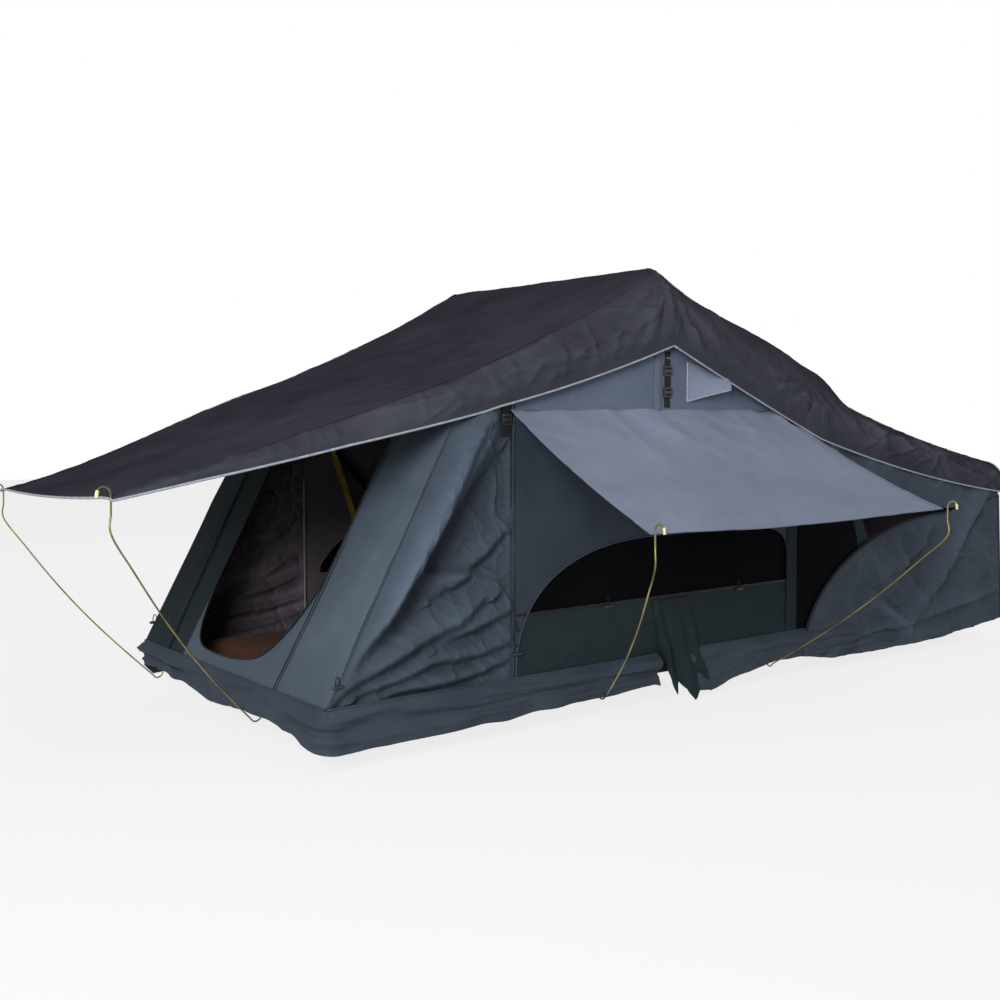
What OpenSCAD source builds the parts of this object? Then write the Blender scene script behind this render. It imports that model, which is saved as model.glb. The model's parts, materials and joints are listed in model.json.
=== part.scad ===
// Fold-out roof top tent, open. X runs along the tent: entrance at -X, vestibule at +X. Z is up.
// Inside the modules x is measured from the hinge line of the two base halves; placed() moves the
// origin to the middle of the mounting rails, on their underside.

/* [Base] */
// Length of one base half, from the hinge line to its outer end
half_l = 1190; // [900:10:1400]
// Width over the frame bars
frame_w = 1180; // [1000:10:1600]
// Height of the frame bars and of the floor panel
frame_h = 30; // [20:1:45]
// Width of a frame bar
frame_t = 25; // [18:1:40]
// Side of a corner block
corner_s = 60; // [45:1:90]
// Gap between the two halves at the hinge line
half_gap = 2; // [1:0.5:6]

/* [Mounting rails] */
// Height of a rail
rail_h = 30; // [25:1:40]
// Width of a rail
rail_w = 40; // [30:1:60]
// Wall of a rail
rail_wall = 4; // [3:0.5:6]
// Length of a rail
rail_l = 1080; // [700:10:1100]
// Distance between the two rails
rail_gap = 800; // [500:10:900]
// Distance between the bolt holes along a rail
bolt_gap = 700; // [400:10:900]
// Diameter of a bolt hole
bolt_d = 8.5; // [6.5:0.5:12.5]

/* [Hinge and bows] */
// Height of the hinge axis above the floor
axis_rise = 115; // [95:1:150]
// Diameter of the hinge pin
pin_d = 12; // [8:1:16]
// Radial play of a bore on the pin
pin_play = 0.05; // [0.02:0.01:0.1]
// Radius of the round end of a hinge leaf
leaf_r = 18; // [14:1:24]
// Thickness of a hinge leaf
leaf_t = 5; // [4:0.5:8]
// Where a leaf's foot starts, from the hinge line
leaf_x0 = 32; // [28:1:60]
// Length of a leaf's foot
leaf_l = 110; // [80:5:160]
// Diameter of a bow tube
tube_d = 16; // [12:1:19]
// Distance from one bow leg to the next, across the tent
leg_pitch = 20; // [20:0.5:26]
// Radius of a bow's corner, at the tube's centre line
bend_r = 110; // [60:5:160]
// Reach of the ridge bow, axis to crossbar
ridge_reach = 1090; // [900:10:1120]
// Reach of the front and rear bows, axis to crossbar
side_reach = 1043; // [850:1:1060]
// Angle of the front bow from the fold-out half, open
front_angle = 133.6; // [125:0.1:140]
// Angle of the rear bow from the fold-out half, open
rear_angle = 46.4; // [40:0.1:55]
// Length of a bow sleeve
sleeve_l = 60; // [40:1:90]
// Distance of a bow sleeve from the axis
sleeve_at = 240; // [150:5:400]

/* [Mattress] */
// Thickness at the crown
mattress_h = 60; // [40:1:65]
// Width
mattress_w = 1000; // [800:10:1010]
// Distance from the hinge line and from the end bar
mattress_in = 22; // [15:1:60]

/* [Cloth] */
// Thickness of wall cloth
wall_t = 2.5; // [1.5:0.5:4]
// Gap between neighbouring layers
layer_gap = 0.3; // [0.2:0.1:0.6]
// Height of the top edge of the skirt above the rails' underside
skirt_top = 88; // [70:1:110]
// Depth of the skirt's folds at its hem
skirt_fold = 9; // [2:1:14]
// Length of one skirt fold
skirt_wave = 150; // [90:5:300]
// Height of the side awning's seam
seam_z = 840; // [780:5:860]
// Height of the skirt's hem at the outer ends
skirt_hem_z = 2; // [0:1:12]
// How much higher the hem is near the hinge line
skirt_hem_rise = 26; // [0:1:40]
// Distance of the skirt from the hinge line on either side of the bellows
skirt_in = 80; // [76:1:120]
// Half width of the doorway
door_half = 305; // [200:5:360]
// Distance of the doorway's top below the wall's top, along the slope
door_top = 60; // [40:5:100]
// Corner radius of the doorway
door_corner = 90; // [40:5:140]
// Height of the door sill
sill_z = 130; // [110:5:200]

/* [Window] */
// Height of the window's lower edge
window_z = 270; // [230:5:330]
// Height of the window
window_h = 190; // [120:5:260]
// Length of the window's arch towards the entrance
window_arch = 300; // [100:10:340]
// Length of the window's rounded end on the fold-out half
window_round = 40; // [20:5:80]
// Lap of the mesh on the wall round a window
mesh_lap = 14; // [8:1:20]
// Thickness of the mesh
mesh_t = 1; // [0.6:0.1:1.4]
// End of the window on the base half
window_left = 510; // [350:5:560]
// End of the window on the fold-out half
window_right = 575; // [350:5:600]
// Distance of the end window from the window
end_window_gap = 75; // [60:5:100]
// Height of the end window's lower edge
end_window_z = 200; // [160:5:240]
// Width of the end window
end_window_w = 300; // [150:10:320]
// Height of the end window
end_window_h = 380; // [150:10:400]

/* [Fly] */
// Thickness of the fly
fly_t = 3; // [2:0.5:4]
// How far the fly's edge stands out from the frame on each side
fly_over = 32; // [23:1:60]
// How far the fly's edge hangs below its top at the ridge
ridge_drop = 240; // [150:5:280]
// How far the fly's edge hangs below its top at the vestibule's end
vestibule_drop = 125; // [60:5:160]
// How far the fly's edge hangs below its top at the entrance awning's outer edge
awning_drop = 34; // [15:1:80]
// How far the entrance awning reaches from the hinge line
awning_x = 1730; // [1500:10:1900]
// Height of the entrance awning's outer edge
awning_z = 650; // [560:10:760]
// How far the fly reaches over the vestibule from the hinge line
vestibule_x = 1910; // [1700:10:2000]
// Height of the fly's end over the vestibule
vestibule_z = 642; // [560:2:720]
// Sag of the fly between two supports
fly_sag = 16; // [0:1:30]
// Diameter of the piping
piping_d = 6; // [4:1:8]

/* [Side awning] */
// Reach of the side awning over the base half
awning_left = 610; // [500:5:660]
// Reach of the side awning over the fold-out half
awning_right = 633; // [500:1:660]
// How far the side awning stands out from the wall
awning_out = 551; // [400:1:650]
// Height of the side awning's outer edge
awning_edge_z = 540; // [460:5:640]
// Sag of the side awning
awning_sag = 14; // [0:1:30]
// How far the side awning's outer edge curves in at the hinge line
awning_curve = 20; // [0:1:40]

/* [Vestibule] */
// How far the vestibule's end stands in from the fly's end
vestibule_in = 12; // [8:1:30]
// How far the vestibule's end leans in at its top corners
vestibule_lean = 45; // [20:1:80]
// How far the vestibule's side panel starts beyond the window
panel_gap = 85; // [70:5:120]
// Length of the curved top edge of the side panel
panel_curve = 840; // [600:10:900]
// How far that edge meets the end below the top corner
panel_drop = 50; // [20:5:120]

/* [Straps, vents and toggles] */
// Width of a strap
strap_w = 25; // [20:1:30]
// Thickness of a strap
strap_t = 2; // [1.5:0.5:3]
// Top of the strap at the ridge bow
ridge_strap_z = 1020; // [980:5:1030]
// Length of the strap at the ridge bow
ridge_strap_l = 170; // [130:5:170]
// Distance of the front bow's strap below the crossbar, along the leg
front_strap_below = 160; // [150:5:200]
// Distance of that strap from the leg, towards the entrance
front_strap_off = 16; // [14:1:30]
// Length of the strap at the front bow
front_strap_l = 90; // [60:1:90]
// Distance of the vent hood from the hinge line
vent_x = 75; // [60:5:110]
// Width of the vent hood
vent_w = 200; // [120:5:240]
// Height of the vent hood
vent_h = 90; // [60:5:100]
// How far the vent hood stands out
vent_out = 45; // [25:1:60]
// Height of the vent hood's lower edge
vent_z = 865; // [850:5:900]
// Distance of the base half's toggle from the hinge line
toggle_left = 240; // [150:5:400]
// Distance of the fold-out half's toggle from the hinge line
toggle_right = 340; // [150:5:450]
// Length of a toggle
toggle_l = 34; // [24:1:44]
// Diameter of a toggle
toggle_d = 9; // [6:1:12]

/* [Bellows] */
// Height of the bellows' gathered top
bellows_top = 255; // [200:5:260]
// How far the bellows hang below the rails' underside
bellows_low = 55; // [20:1:80]
// Half width of the bellows at the hem
bellows_half = 62; // [40:1:64]
// Number of pleats
bellows_pleats = 4; // [3:1:5]
// Depth of a pleat at the hem
bellows_depth = 26; // [12:1:40]

/* [Rods] */
// Diameter of a spring-steel rod
rod_d = 6; // [5:0.5:8]
// How far a rod bows out at its middle
rod_bow = 22; // [0:1:40]
// Side of a rod socket
socket_s = 24; // [18:1:32]
// Depth of a socket below the frame
socket_h = 22; // [16:1:26]
// Foot of the side rod on the base half, from the hinge line
side_foot_left = 260; // [150:5:500]
// Foot of the side rod on the fold-out half, from the hinge line
side_foot_right = 505; // [300:5:560]
// Foot of the near entrance rod, from the centre line
entrance_foot_near = 200; // [120:5:330]
// Foot of the far entrance rod, from the frame's side
entrance_foot_far = 90; // [80:5:140]
// Feet of the vestibule rods, from the frame's side
vestibule_foot = 110; // [80:5:140]
// Length of a rod's upright upper end, below its hook
rod_upright = 80; // [50:5:120]
// Diameter of the eyelet in an awning's tab
eyelet_d = 13; // [10:0.5:18]

/* [Hidden] */
$fn = 48;
floor_z = rail_h + frame_h;
axis_z = floor_z + axis_rise;
frame_y = frame_w / 2;
tube_r = tube_d / 2;
pin_r = pin_d / 2;
rod_r = rod_d / 2;
fly_w = frame_w + 2 * fly_over;

// Layers outside the frame, each one layer_gap off the last
wall_y = frame_y + layer_gap;
skirt_y = wall_y + wall_t + layer_gap;
vestibule_y = skirt_y + wall_t + skirt_fold + layer_gap;

// Layers inside the frame's outer face: base leaf, fold leaf, then the three bows' eyes
leaf_y = frame_y - 2;
fold_leaf_y = leaf_y - leaf_t - 0.5;
eye_w = leg_pitch - 0.4;
front_y = fold_leaf_y - leaf_t - 0.5 - eye_w / 2;
ridge_y = front_y - leg_pitch;
rear_y = ridge_y - leg_pitch;
eye_r = tube_r + 6;
nut_t = 8;

// Fly supports as [x, z] over the bows' crossbars, raised so that the sloping cloth clears the tube
bow_cover = 1.2 * tube_r + layer_gap + fly_t;
ridge_top = [0, axis_z + ridge_reach + bow_cover];
front_top = over_bow(front_angle);
rear_top = over_bow(rear_angle);
awning_top = [-awning_x, awning_z];
vestibule_top = [vestibule_x, vestibule_z];

// Foot of the sloping end walls and the point under the bow where they stop
slope_z = skirt_top + 4;
wall_gap = 0.5;
// Gap between the fly's parts, which move apart when the tent folds
split_gap = 0.5;
front_stop = under_bow(front_angle);
rear_stop = under_bow(rear_angle);

cloth_blue = "#4e5966";
fly_grey = "#37373d";
pipe_grey = "#9498a3";
mesh_black = "#0b0d11";
rod_yellow = "#b3a95c";
steel = "#a8abb0";
black = "#1b1c1e";
brown = "#4a3026";
alu = "#b9bcc0";

function over_bow(angle) = [side_reach * cos(angle), axis_z + side_reach * sin(angle) + bow_cover];
function under_bow(angle) = [
    side_reach * cos(angle) + sign(cos(angle)) * (tube_r + wall_t + 1),
    axis_z + side_reach * sin(angle)
];
function lerp(a, b, t) = a + (b - a) * t;
function span(x, a, b, sag) =
    let (t = (x - a[0]) / (b[0] - a[0])) lerp(a[1], b[1], t) - 4 * sag * t * (1 - t);

// Height of the fly's top and of its hanging edge at x
function fly_top(x) =
    x < front_top[0] ? span(x, front_top, awning_top, fly_sag)
    : x < 0 ? span(x, front_top, ridge_top, fly_sag)
    : x < rear_top[0] ? span(x, ridge_top, rear_top, fly_sag)
    : span(x, rear_top, vestibule_top, 1.5 * fly_sag);
function fly_drop(x) =
    x < 0 ? lerp(ridge_drop, awning_drop, pow(-x / awning_x, 0.6))
    : lerp(ridge_drop, vestibule_drop, x / vestibule_x);
function fly_edge(x) = fly_top(x) - fly_drop(x);

// Half section of the fly: share of the half width, share of the drop, lean of the cloth
fly_section = [[0, 0, 0], [0.42, 0, 0], [0.74, 0, 0], [0.86, 0.03, 0.3], [0.93, 0.25, 0.7],
               [0.975, 0.6, 0.95], [1, 1, 1]];
drop_share = [for (s = fly_section) [s[0], s[1]]];
function mirrored(half) = concat(
    [for (i = [len(half) - 1:-1:1]) [-half[i][0], half[i][1], half[i][2]]], half);
function steps(a, b, n) = [for (i = [0:n]) lerp(a, b, i / n)];

module placed() {
    translate([half_l / 2, 0, 0]) children();
}

module both_sides() {
    children();
    mirror([0, 1, 0]) children();
}

// Solid between two grids of points of one size; the outer grid's rows run along its first direction
module sheet(outer, inner) {
    n = len(outer);
    m = len(outer[0]);
    all = concat([for (row = outer) each row], [for (row = inner) each row]);
    q = n * m;
    function at(i, j) = i * m + j;
    function quad(a, b, c, d) = [[a, b, c], [a, c, d]];
    skin = [for (i = [0:n - 2], j = [0:m - 2])
        each quad(at(i, j), at(i, j + 1), at(i + 1, j + 1), at(i + 1, j))];
    back = [for (t = skin) [t[0] + q, t[2] + q, t[1] + q]];
    ends = [for (j = [0:m - 2])
        each concat(quad(at(0, j + 1), at(0, j), at(0, j) + q, at(0, j + 1) + q),
                    quad(at(n - 1, j), at(n - 1, j + 1), at(n - 1, j + 1) + q, at(n - 1, j) + q))];
    sides = [for (i = [0:n - 2])
        each concat(quad(at(i, 0), at(i + 1, 0), at(i + 1, 0) + q, at(i, 0) + q),
                    quad(at(i + 1, m - 1), at(i, m - 1), at(i, m - 1) + q, at(i + 1, m - 1) + q))];
    polyhedron(all, concat(skin, back, ends, sides), convexity = 8);
}

// Round tube swept along a path
module tube(path, r, sides = 8, up = [0.11, 0.23, 0.97]) {
    n = len(path);
    function unit(v) = v / norm(v);
    rings = [for (i = [0:n - 1])
        let (t = unit(path[min(i + 1, n - 1)] - path[max(i - 1, 0)]),
             b = unit(cross(t, up)),
             c = cross(b, t))
        for (k = [0:sides - 1]) path[i] + r * (cos(360 * k / sides) * b + sin(360 * k / sides) * c)];
    walls = [for (i = [0:n - 2], k = [0:sides - 1])
        let (a = i * sides + k, b = i * sides + (k + 1) % sides, c = b + sides, d = a + sides)
        each [[a, b, c], [a, c, d]]];
    last = (n - 1) * sides;
    caps = [for (k = [1:sides - 2]) each [[0, k + 1, k], [last, last + k, last + k + 1]]];
    polyhedron(rings, concat(walls, caps), convexity = 8);
}

// Flat piece drawn in x and z, on the near side, from y outwards to y + t
module upright(y, t) {
    translate([0, -y, 0]) rotate([90, 0, 0]) linear_extrude(t) children();
}

// Base and fold-out halves
module floor_panel() {
    inside = frame_t + layer_gap;
    translate([half_gap / 2 + inside, -frame_y + inside, rail_h])
        cube([half_l - half_gap / 2 - 2 * inside, frame_w - 2 * inside, frame_h]);
}

module frame_bars() {
    x0 = half_gap / 2;
    long = half_l - x0 - 2 * corner_s;
    both_sides() translate([x0 + corner_s, -frame_y, rail_h]) cube([long, frame_t, frame_h]);
    for (x = [x0, half_l - frame_t])
        translate([x, -frame_y + corner_s, rail_h]) cube([frame_t, frame_w - 2 * corner_s, frame_h]);
}

module corner_blocks() {
    x0 = half_gap / 2;
    both_sides() for (x = [x0, half_l - corner_s]) {
        inner = x == x0 ? x + frame_t : x - 1;
        difference() {
            translate([x, -frame_y, rail_h]) cube([corner_s, corner_s, frame_h]);
            translate([inner, -frame_y + frame_t, rail_h - 1])
                cube([corner_s - frame_t + 1, corner_s, frame_h + 2]);
        }
    }
}

module mattress() {
    x0 = half_gap / 2 + mattress_in;
    x1 = half_l - frame_t - mattress_in;
    z0 = floor_z + layer_gap;
    n = 12;
    drawn_in = 8;
    band = 12;
    function round_off(u) = pow(1 - pow(abs(u), 6), 0.5);
    function spot(u, v, up) = [
        lerp(x0, x1, (u + 1) / 2) - sign(u) * drawn_in * (1 - v * v) * pow(abs(u), 8),
        v * (mattress_w / 2 - drawn_in * (1 - u * u) * pow(abs(v), 8)),
        up ? z0 + band + (mattress_h - band) * (0.86 + 0.14 * (1 - u * u) * (1 - v * v))
                 * round_off(u) * round_off(v)
           : z0
    ];
    grid = steps(-1, 1, n);
    sheet([for (u = grid) [for (v = grid) spot(u, v, true)]],
          [for (u = grid) [for (v = grid) spot(u, v, false)]]);
}

// Hem height of the skirt, and how far its folds stand out
function skirt_hem(x) = skirt_hem_z + skirt_hem_rise * pow(1 - min(1, abs(x) / half_l), 2);
function skirt_out(s, z) =
    skirt_fold * (0.5 - 0.5 * cos(360 * s / skirt_wave) * cos(140 * s / skirt_wave))
    * pow(1 - z / skirt_top, 0.7);

module skirt_side(x0, x1) {
    rows = steps(x0, x1, round(abs(x1 - x0) / 30));
    cols = [1, 0.66, 0.33, 0];
    function spot(x, c, out) =
        let (z = lerp(skirt_hem(x), skirt_top, c))
        [x, -skirt_y - out - (c > 0.99 ? 0 : skirt_out(x, z)), z];
    sheet([for (x = rows) [for (c = cols) spot(x, 1 - c, wall_t)]],
          [for (x = rows) [for (c = cols) spot(x, 1 - c, 0)]]);
}

module skirt_end() {
    x = half_l + layer_gap + wall_t + layer_gap;
    ys = steps(-skirt_y - wall_t, skirt_y + wall_t, 30);
    cols = [1, 0.66, 0.33, 0];
    function spot(y, c, out) =
        let (z = lerp(skirt_hem_z, skirt_top, c)) [-x - out - (c > 0.99 ? 0 : skirt_out(y, z)), y, z];
    sheet([for (c = cols) [for (y = ys) spot(y, 1 - c, wall_t)]],
          [for (c = cols) [for (y = ys) spot(y, 1 - c, 0)]]);
}

// Side wall of one half: dir is -1 for the base half, 1 for the fold-out half
module wall_outline(dir) {
    low = rail_h + 4;
    end = dir * half_l;
    stop = dir < 0 ? front_stop : rear_stop;
    shelter = 22;
    function top(x) = fly_top(x) - 0.55 * fly_drop(x) - shelter;
    bow_x = abs(stop[0]);
    polygon(concat(
        [[dir * half_gap / 2, low], [end, low], [end, slope_z]],
        [[stop[0] * 0.985, top(stop[0])]],
        [for (t = [0.8, 0.6, 0.4, 0.2, 0]) [dir * max(half_gap / 2, bow_x * t), top(dir * bow_x * t)]]
    ));
}

// Arched window of one half, drawn from the hinge line outwards; grow widens it for the mesh
module window_outline(dir, grow) {
    reach = dir < 0 ? window_left : window_right;
    arch = dir < 0 ? window_arch : window_round;
    x1 = reach - arch;
    lo = window_z - grow;
    hi = window_h + 2 * grow;
    polygon(concat(
        [[dir * half_gap, lo], [dir * (reach + grow), lo]],
        [for (a = [15:15:90]) [dir * (x1 + (arch + grow) * cos(a)), lo + hi * sin(a)]],
        [[dir * half_gap, lo + hi]]
    ));
}

// Second window, on the fold-out half beside the vestibule's panel
module end_window_outline(grow) {
    translate([window_right + end_window_gap - grow, end_window_z - grow])
        square([end_window_w + 2 * grow, end_window_h + 2 * grow]);
}

module side_wall(dir) {
    upright(wall_y, wall_t) difference() {
        wall_outline(dir);
        window_outline(dir, 0);
        if (dir > 0) end_window_outline(0);
    }
}

module window_mesh(dir) {
    upright(frame_y - mesh_t, mesh_t) {
        window_outline(dir, mesh_lap);
        if (dir > 0) end_window_outline(mesh_lap);
    }
}

// Sloping wall at a half's outer end, with its doorway; drawn for the base half and turned for the other
module end_wall() {
    x0 = -half_l - layer_gap;
    stop = [-abs(front_stop[0]), front_stop[1]];
    y = frame_y - wall_gap;
    top_w = front_y * 2 - 10;
    rise = stop[1] - slope_z;
    run = stop[0] - x0;
    lean = atan2(run, rise);
    length = norm([run, rise]);
    rotate([90, 0, 0]) linear_extrude(2 * y, center = true)
        polygon([[x0, rail_h + 4], [x0, slope_z], [x0 - wall_t, slope_z], [x0 - wall_t, rail_h + 4]]);
    translate([x0, 0, slope_z]) rotate([0, lean, 0]) rotate([0, -90, 0]) linear_extrude(wall_t)
        difference() {
            polygon([[0, -y], [0, y], [length - 0.6 * bend_r, top_w / 2], [length, top_w / 2 - bend_r],
                     [length, bend_r - top_w / 2], [length - 0.6 * bend_r, -top_w / 2]]);
            doorway(sill_z - slope_z, length - door_top, door_corner);
        }
}

// Doorway in the slope's own plane: first along the slope, second across
module doorway(from, to, corner) {
    translate([from + corner, -door_half]) square([to - from - corner, 2 * door_half]);
    translate([from, -door_half + corner]) square([corner + 1, 2 * (door_half - corner)]);
    for (s = [-1, 1]) translate([from + corner, s * (door_half - corner)]) circle(corner);
}

module door_zips() {
    rise = front_stop[1] - slope_z;
    run = front_stop[0] + half_l + layer_gap;
    zip_w = 12;
    zip_t = 1.5;
    translate([-half_l - layer_gap, 0, slope_z]) rotate([0, atan2(run, rise), 0])
        for (s = [-1, 1])
            translate([-wall_t - layer_gap - zip_t, s * (door_half + 24) - zip_w / 2, 20])
                cube([zip_t, zip_w, norm([run, rise]) - 80]);
}

// Part of the fly between two stations
module fly(x0, x1, n) {
    section = mirrored(fly_section);
    function spot(x, s, deep) = [
        x,
        s[0] * (fly_w / 2) - sign(s[0]) * deep * s[2],
        fly_top(x) - s[1] * fly_drop(x) - deep * (1 - s[2])
    ];
    xs = steps(x0, x1, n);
    sheet([for (x = xs) [for (s = section) spot(x, s, 0)]],
          [for (x = xs) [for (s = section) spot(x, s, fly_t)]]);
}

// Piping along the fly's hanging edge, on the fly's own stations, cut short at both ends
module edge_piping(x0, x1, n) {
    r = piping_d / 2;
    path = [for (x = steps(x0, x1, n)) [x, -fly_w / 2 + fly_t / 2, fly_edge(x) - r - layer_gap]];
    cut = r / abs(path[1][0] - path[0][0]);
    both_sides() tube([for (i = [0:n])
        i == 0 ? lerp(path[0], path[1], cut) : i == n ? lerp(path[n], path[n - 1], cut) : path[i]], r, 6);
}

// Piping across the fly's end at x
module end_piping(x) {
    r = piping_d / 2;
    section = mirrored(fly_section);
    tube([for (s = section)
            [x + sign(x) * (r + layer_gap), s[0] * (fly_w / 2 - fly_t / 2),
             fly_top(x) - s[1] * fly_drop(x) - fly_t / 2]],
         r, 6, [1, 0, 0]);
}

// Half of a near-side awning, sewn on below the fly's edge: dir is -1 over the base half, 1 over the
// fold-out half
module side_awning(dir) {
    reach = dir < 0 ? awning_left : awning_right;
    y0 = wall_y + wall_t + layer_gap;
    n = 6;
    function root(x) = min(seam_z, fly_edge(x) + 0.8 * piping_d);
    function spot(x, v, deep) = [
        x,
        -lerp(y0, wall_y + awning_out - awning_curve * (1 - pow(x / reach, 2)), v),
        lerp(root(x), awning_edge_z, v) - 4 * awning_sag * v * (1 - v) - deep
    ];
    xs = dir < 0 ? steps(-reach, -half_gap / 2, n) : steps(half_gap / 2, reach, n);
    vs = steps(1, 0, n);
    sheet([for (x = xs) [for (v = vs) spot(x, v, 0)]],
          [for (x = xs) [for (v = vs) spot(x, v, wall_t)]]);
    tab([dir * reach, -wall_y - awning_out, awning_edge_z], -90);
}

// Webbing tab with its eyelet, standing out from an awning's corner along angle a
module tab(corner, a) {
    w = eyelet_d + 14;
    l = tab_l();
    translate(corner + [0, 0, -wall_t]) rotate([0, 0, a]) difference() {
        union() {
            translate([layer_gap, -w / 2, 0]) cube([l, w, wall_t]);
            translate([layer_gap + l, 0, 0]) cylinder(d = w, h = wall_t);
        }
        translate([layer_gap + l, 0, -1]) cylinder(d = eyelet_d, h = wall_t + 2);
    }
}
function tab_l() = 16;
function eyelet(corner, a) = corner + (layer_gap + tab_l()) * [cos(a), sin(a), 0];

// Rod from a socket under the frame's edge up through an eyelet. foot is on the frame's outer face,
// out points away from it.
function rod_path(foot, out, tip) =
    let (o = [out[0], out[1], 0],
         f = [foot[0], foot[1], 0],
         clear = skirt_y - frame_y + wall_t + skirt_fold + 4,
         a = f + o * (clear + rod_r) + [0, 0, -2],
         b = tip - [0, 0, rod_upright],
         d = rod_d)
    concat(
        [f - o * socket_s * 0.6 + [0, 0, rail_h - 2], f - o * socket_s * 0.6 + [0, 0, -4],
         f - o * 4 + [0, 0, -15], f + o * (clear - 10) + [0, 0, -15], a],
        [for (t = [0.15:0.175:0.9]) lerp(a, b, t) + (o - [0, 0, 1]) * rod_bow * sin(180 * t) * 0.7],
        [b, lerp(b, tip, 0.62), tip + [0, 0, 2 * d], tip + o * 1.2 * d + [0, 0, 4 * d],
         tip + o * 3 * d + [0, 0, 4.5 * d], tip + o * 4.7 * d + [0, 0, 3.3 * d],
         tip + o * 5.2 * d + [0, 0, 0.7 * d]]
    );

module rod(foot, out, tip) {
    path = rod_path(foot, out, tip);
    tube(path, rod_r);
    end = path[len(path) - 1];
    difference() {
        translate(end + [0, 0, -2]) cylinder(r = rod_r + 2, h = 4.5);
        translate(end + [0, 0, -1.5]) cylinder(r = rod_r + 0.3, h = 5);
    }
}

module socket(foot, out) {
    c = [foot[0], foot[1], 0] - [out[0], out[1], 0] * socket_s * 0.6;
    translate([c[0], c[1], rail_h - socket_h]) difference() {
        translate([-socket_s / 2, -socket_s / 2, 0]) cube([socket_s, socket_s, socket_h]);
        translate([0, 0, -1]) cylinder(r = rod_r + 0.3, h = socket_h + 2);
    }
}

// Feet and eyelets of the rods, near side
left_foot = [-side_foot_left, -frame_y];
right_foot = [side_foot_right, -frame_y];
near_entrance_foot = [-half_l, -entrance_foot_near];
far_entrance_foot = [-half_l, frame_y - entrance_foot_far];
left_tip = eyelet([-awning_left, -wall_y - awning_out, awning_edge_z], -90);
right_tip = eyelet([awning_right, -wall_y - awning_out, awning_edge_z], -90);
entrance_in = fly_over + 10;
entrance_corner = [-awning_x - piping_d - 2 * layer_gap, -fly_w / 2 + entrance_in,
                   awning_z - awning_drop * lookup(1 - 2 * entrance_in / fly_w, drop_share)];
entrance_tip = eyelet(entrance_corner, 180);
vestibule_near_foot = [half_l, vestibule_foot - frame_y];

// Vestibule: end at the hem, height of its top corners, and where its rods hook over the end
vestibule_end_x = vestibule_x - vestibule_in;
vestibule_corner = vestibule_z - vestibule_drop - vestibule_in;
vestibule_tip = [vestibule_end_x - vestibule_lean - 15, -vestibule_y + 16, vestibule_corner + 5];

module vestibule_panel() {
    x0 = window_right + panel_gap;
    rise = vestibule_corner - skirt_hem_z - panel_drop;
    upright(vestibule_y, wall_t) polygon(concat(
        [[vestibule_end_x, skirt_hem_z], [vestibule_end_x - vestibule_lean, vestibule_corner]],
        [for (a = [90:-10:0]) [x0 + panel_curve * (1 - cos(a)), skirt_hem_z + rise * sin(a)]]
    ));
}

// Leaning end of the vestibule, drawn along its slope; its middle rises under the fly
module vestibule_end() {
    rise = vestibule_corner - skirt_hem_z;
    slope = norm([rise, vestibule_lean]);
    middle = slope + 0.7 * vestibule_drop;
    y = vestibule_y - wall_gap;
    step = 45;
    translate([vestibule_end_x, 0, skirt_hem_z]) rotate([0, atan2(-rise, -vestibule_lean), 0])
        linear_extrude(wall_t)
            polygon([[0, -y], [slope, -y], [slope, -y + step], [middle, -y + 3 * step],
                     [middle, y - 3 * step], [slope, y - step], [slope, y], [0, y]]);
}

// Hinge
module leaf(dir, y, on_top) {
    x0 = dir * leaf_x0;
    x1 = dir * (leaf_x0 + leaf_l);
    foot_w = 22;
    difference() {
        union() {
            upright(y - leaf_t, leaf_t) polygon([
                [x0, on_top], [x1, on_top], [x1, on_top + 22], [dir * leaf_r * 0.75, axis_z + leaf_r * 0.66],
                [-dir * leaf_r * 0.5, axis_z - leaf_r * 0.8]]);
            translate([0, -y + leaf_t, axis_z]) rotate([90, 0, 0]) cylinder(r = leaf_r, h = leaf_t);
            translate([min(x0, x1), -y, on_top]) cube([leaf_l, foot_w, leaf_t]);
        }
        translate([0, -y + leaf_t + 1, axis_z]) rotate([90, 0, 0])
            cylinder(r = pin_r + pin_play, h = leaf_t + 2);
    }
}

module leaf_bolts(dir) {
    foot_y = (dir < 0 ? leaf_y : fold_leaf_y) - leaf_t - 8;
    both_sides() for (t = [0.25, 0.75])
        translate([dir * (leaf_x0 + leaf_l * t), -foot_y, floor_z + leaf_t]) cylinder(r = 6, h = 4);
}

module hinge_pin() {
    inner = rear_y - eye_w / 2 - nut_t - 3;
    head_t = 1.6;
    translate([0, -inner, axis_z]) rotate([90, 0, 0]) cylinder(r = pin_r, h = leaf_y - inner + head_t / 2);
    translate([0, -leaf_y, axis_z]) rotate([90, 0, 0]) cylinder(r = pin_r + 4, h = head_t);
}

module pin_nut() {
    y = rear_y - eye_w / 2 - 0.4;
    translate([0, -y + nut_t, axis_z]) rotate([90, 0, 0]) difference() {
        cylinder(r = pin_r + 4.5, h = nut_t, $fn = 6);
        translate([0, 0, -1]) cylinder(r = pin_r + 0.02, h = nut_t + 2);
    }
}

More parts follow.
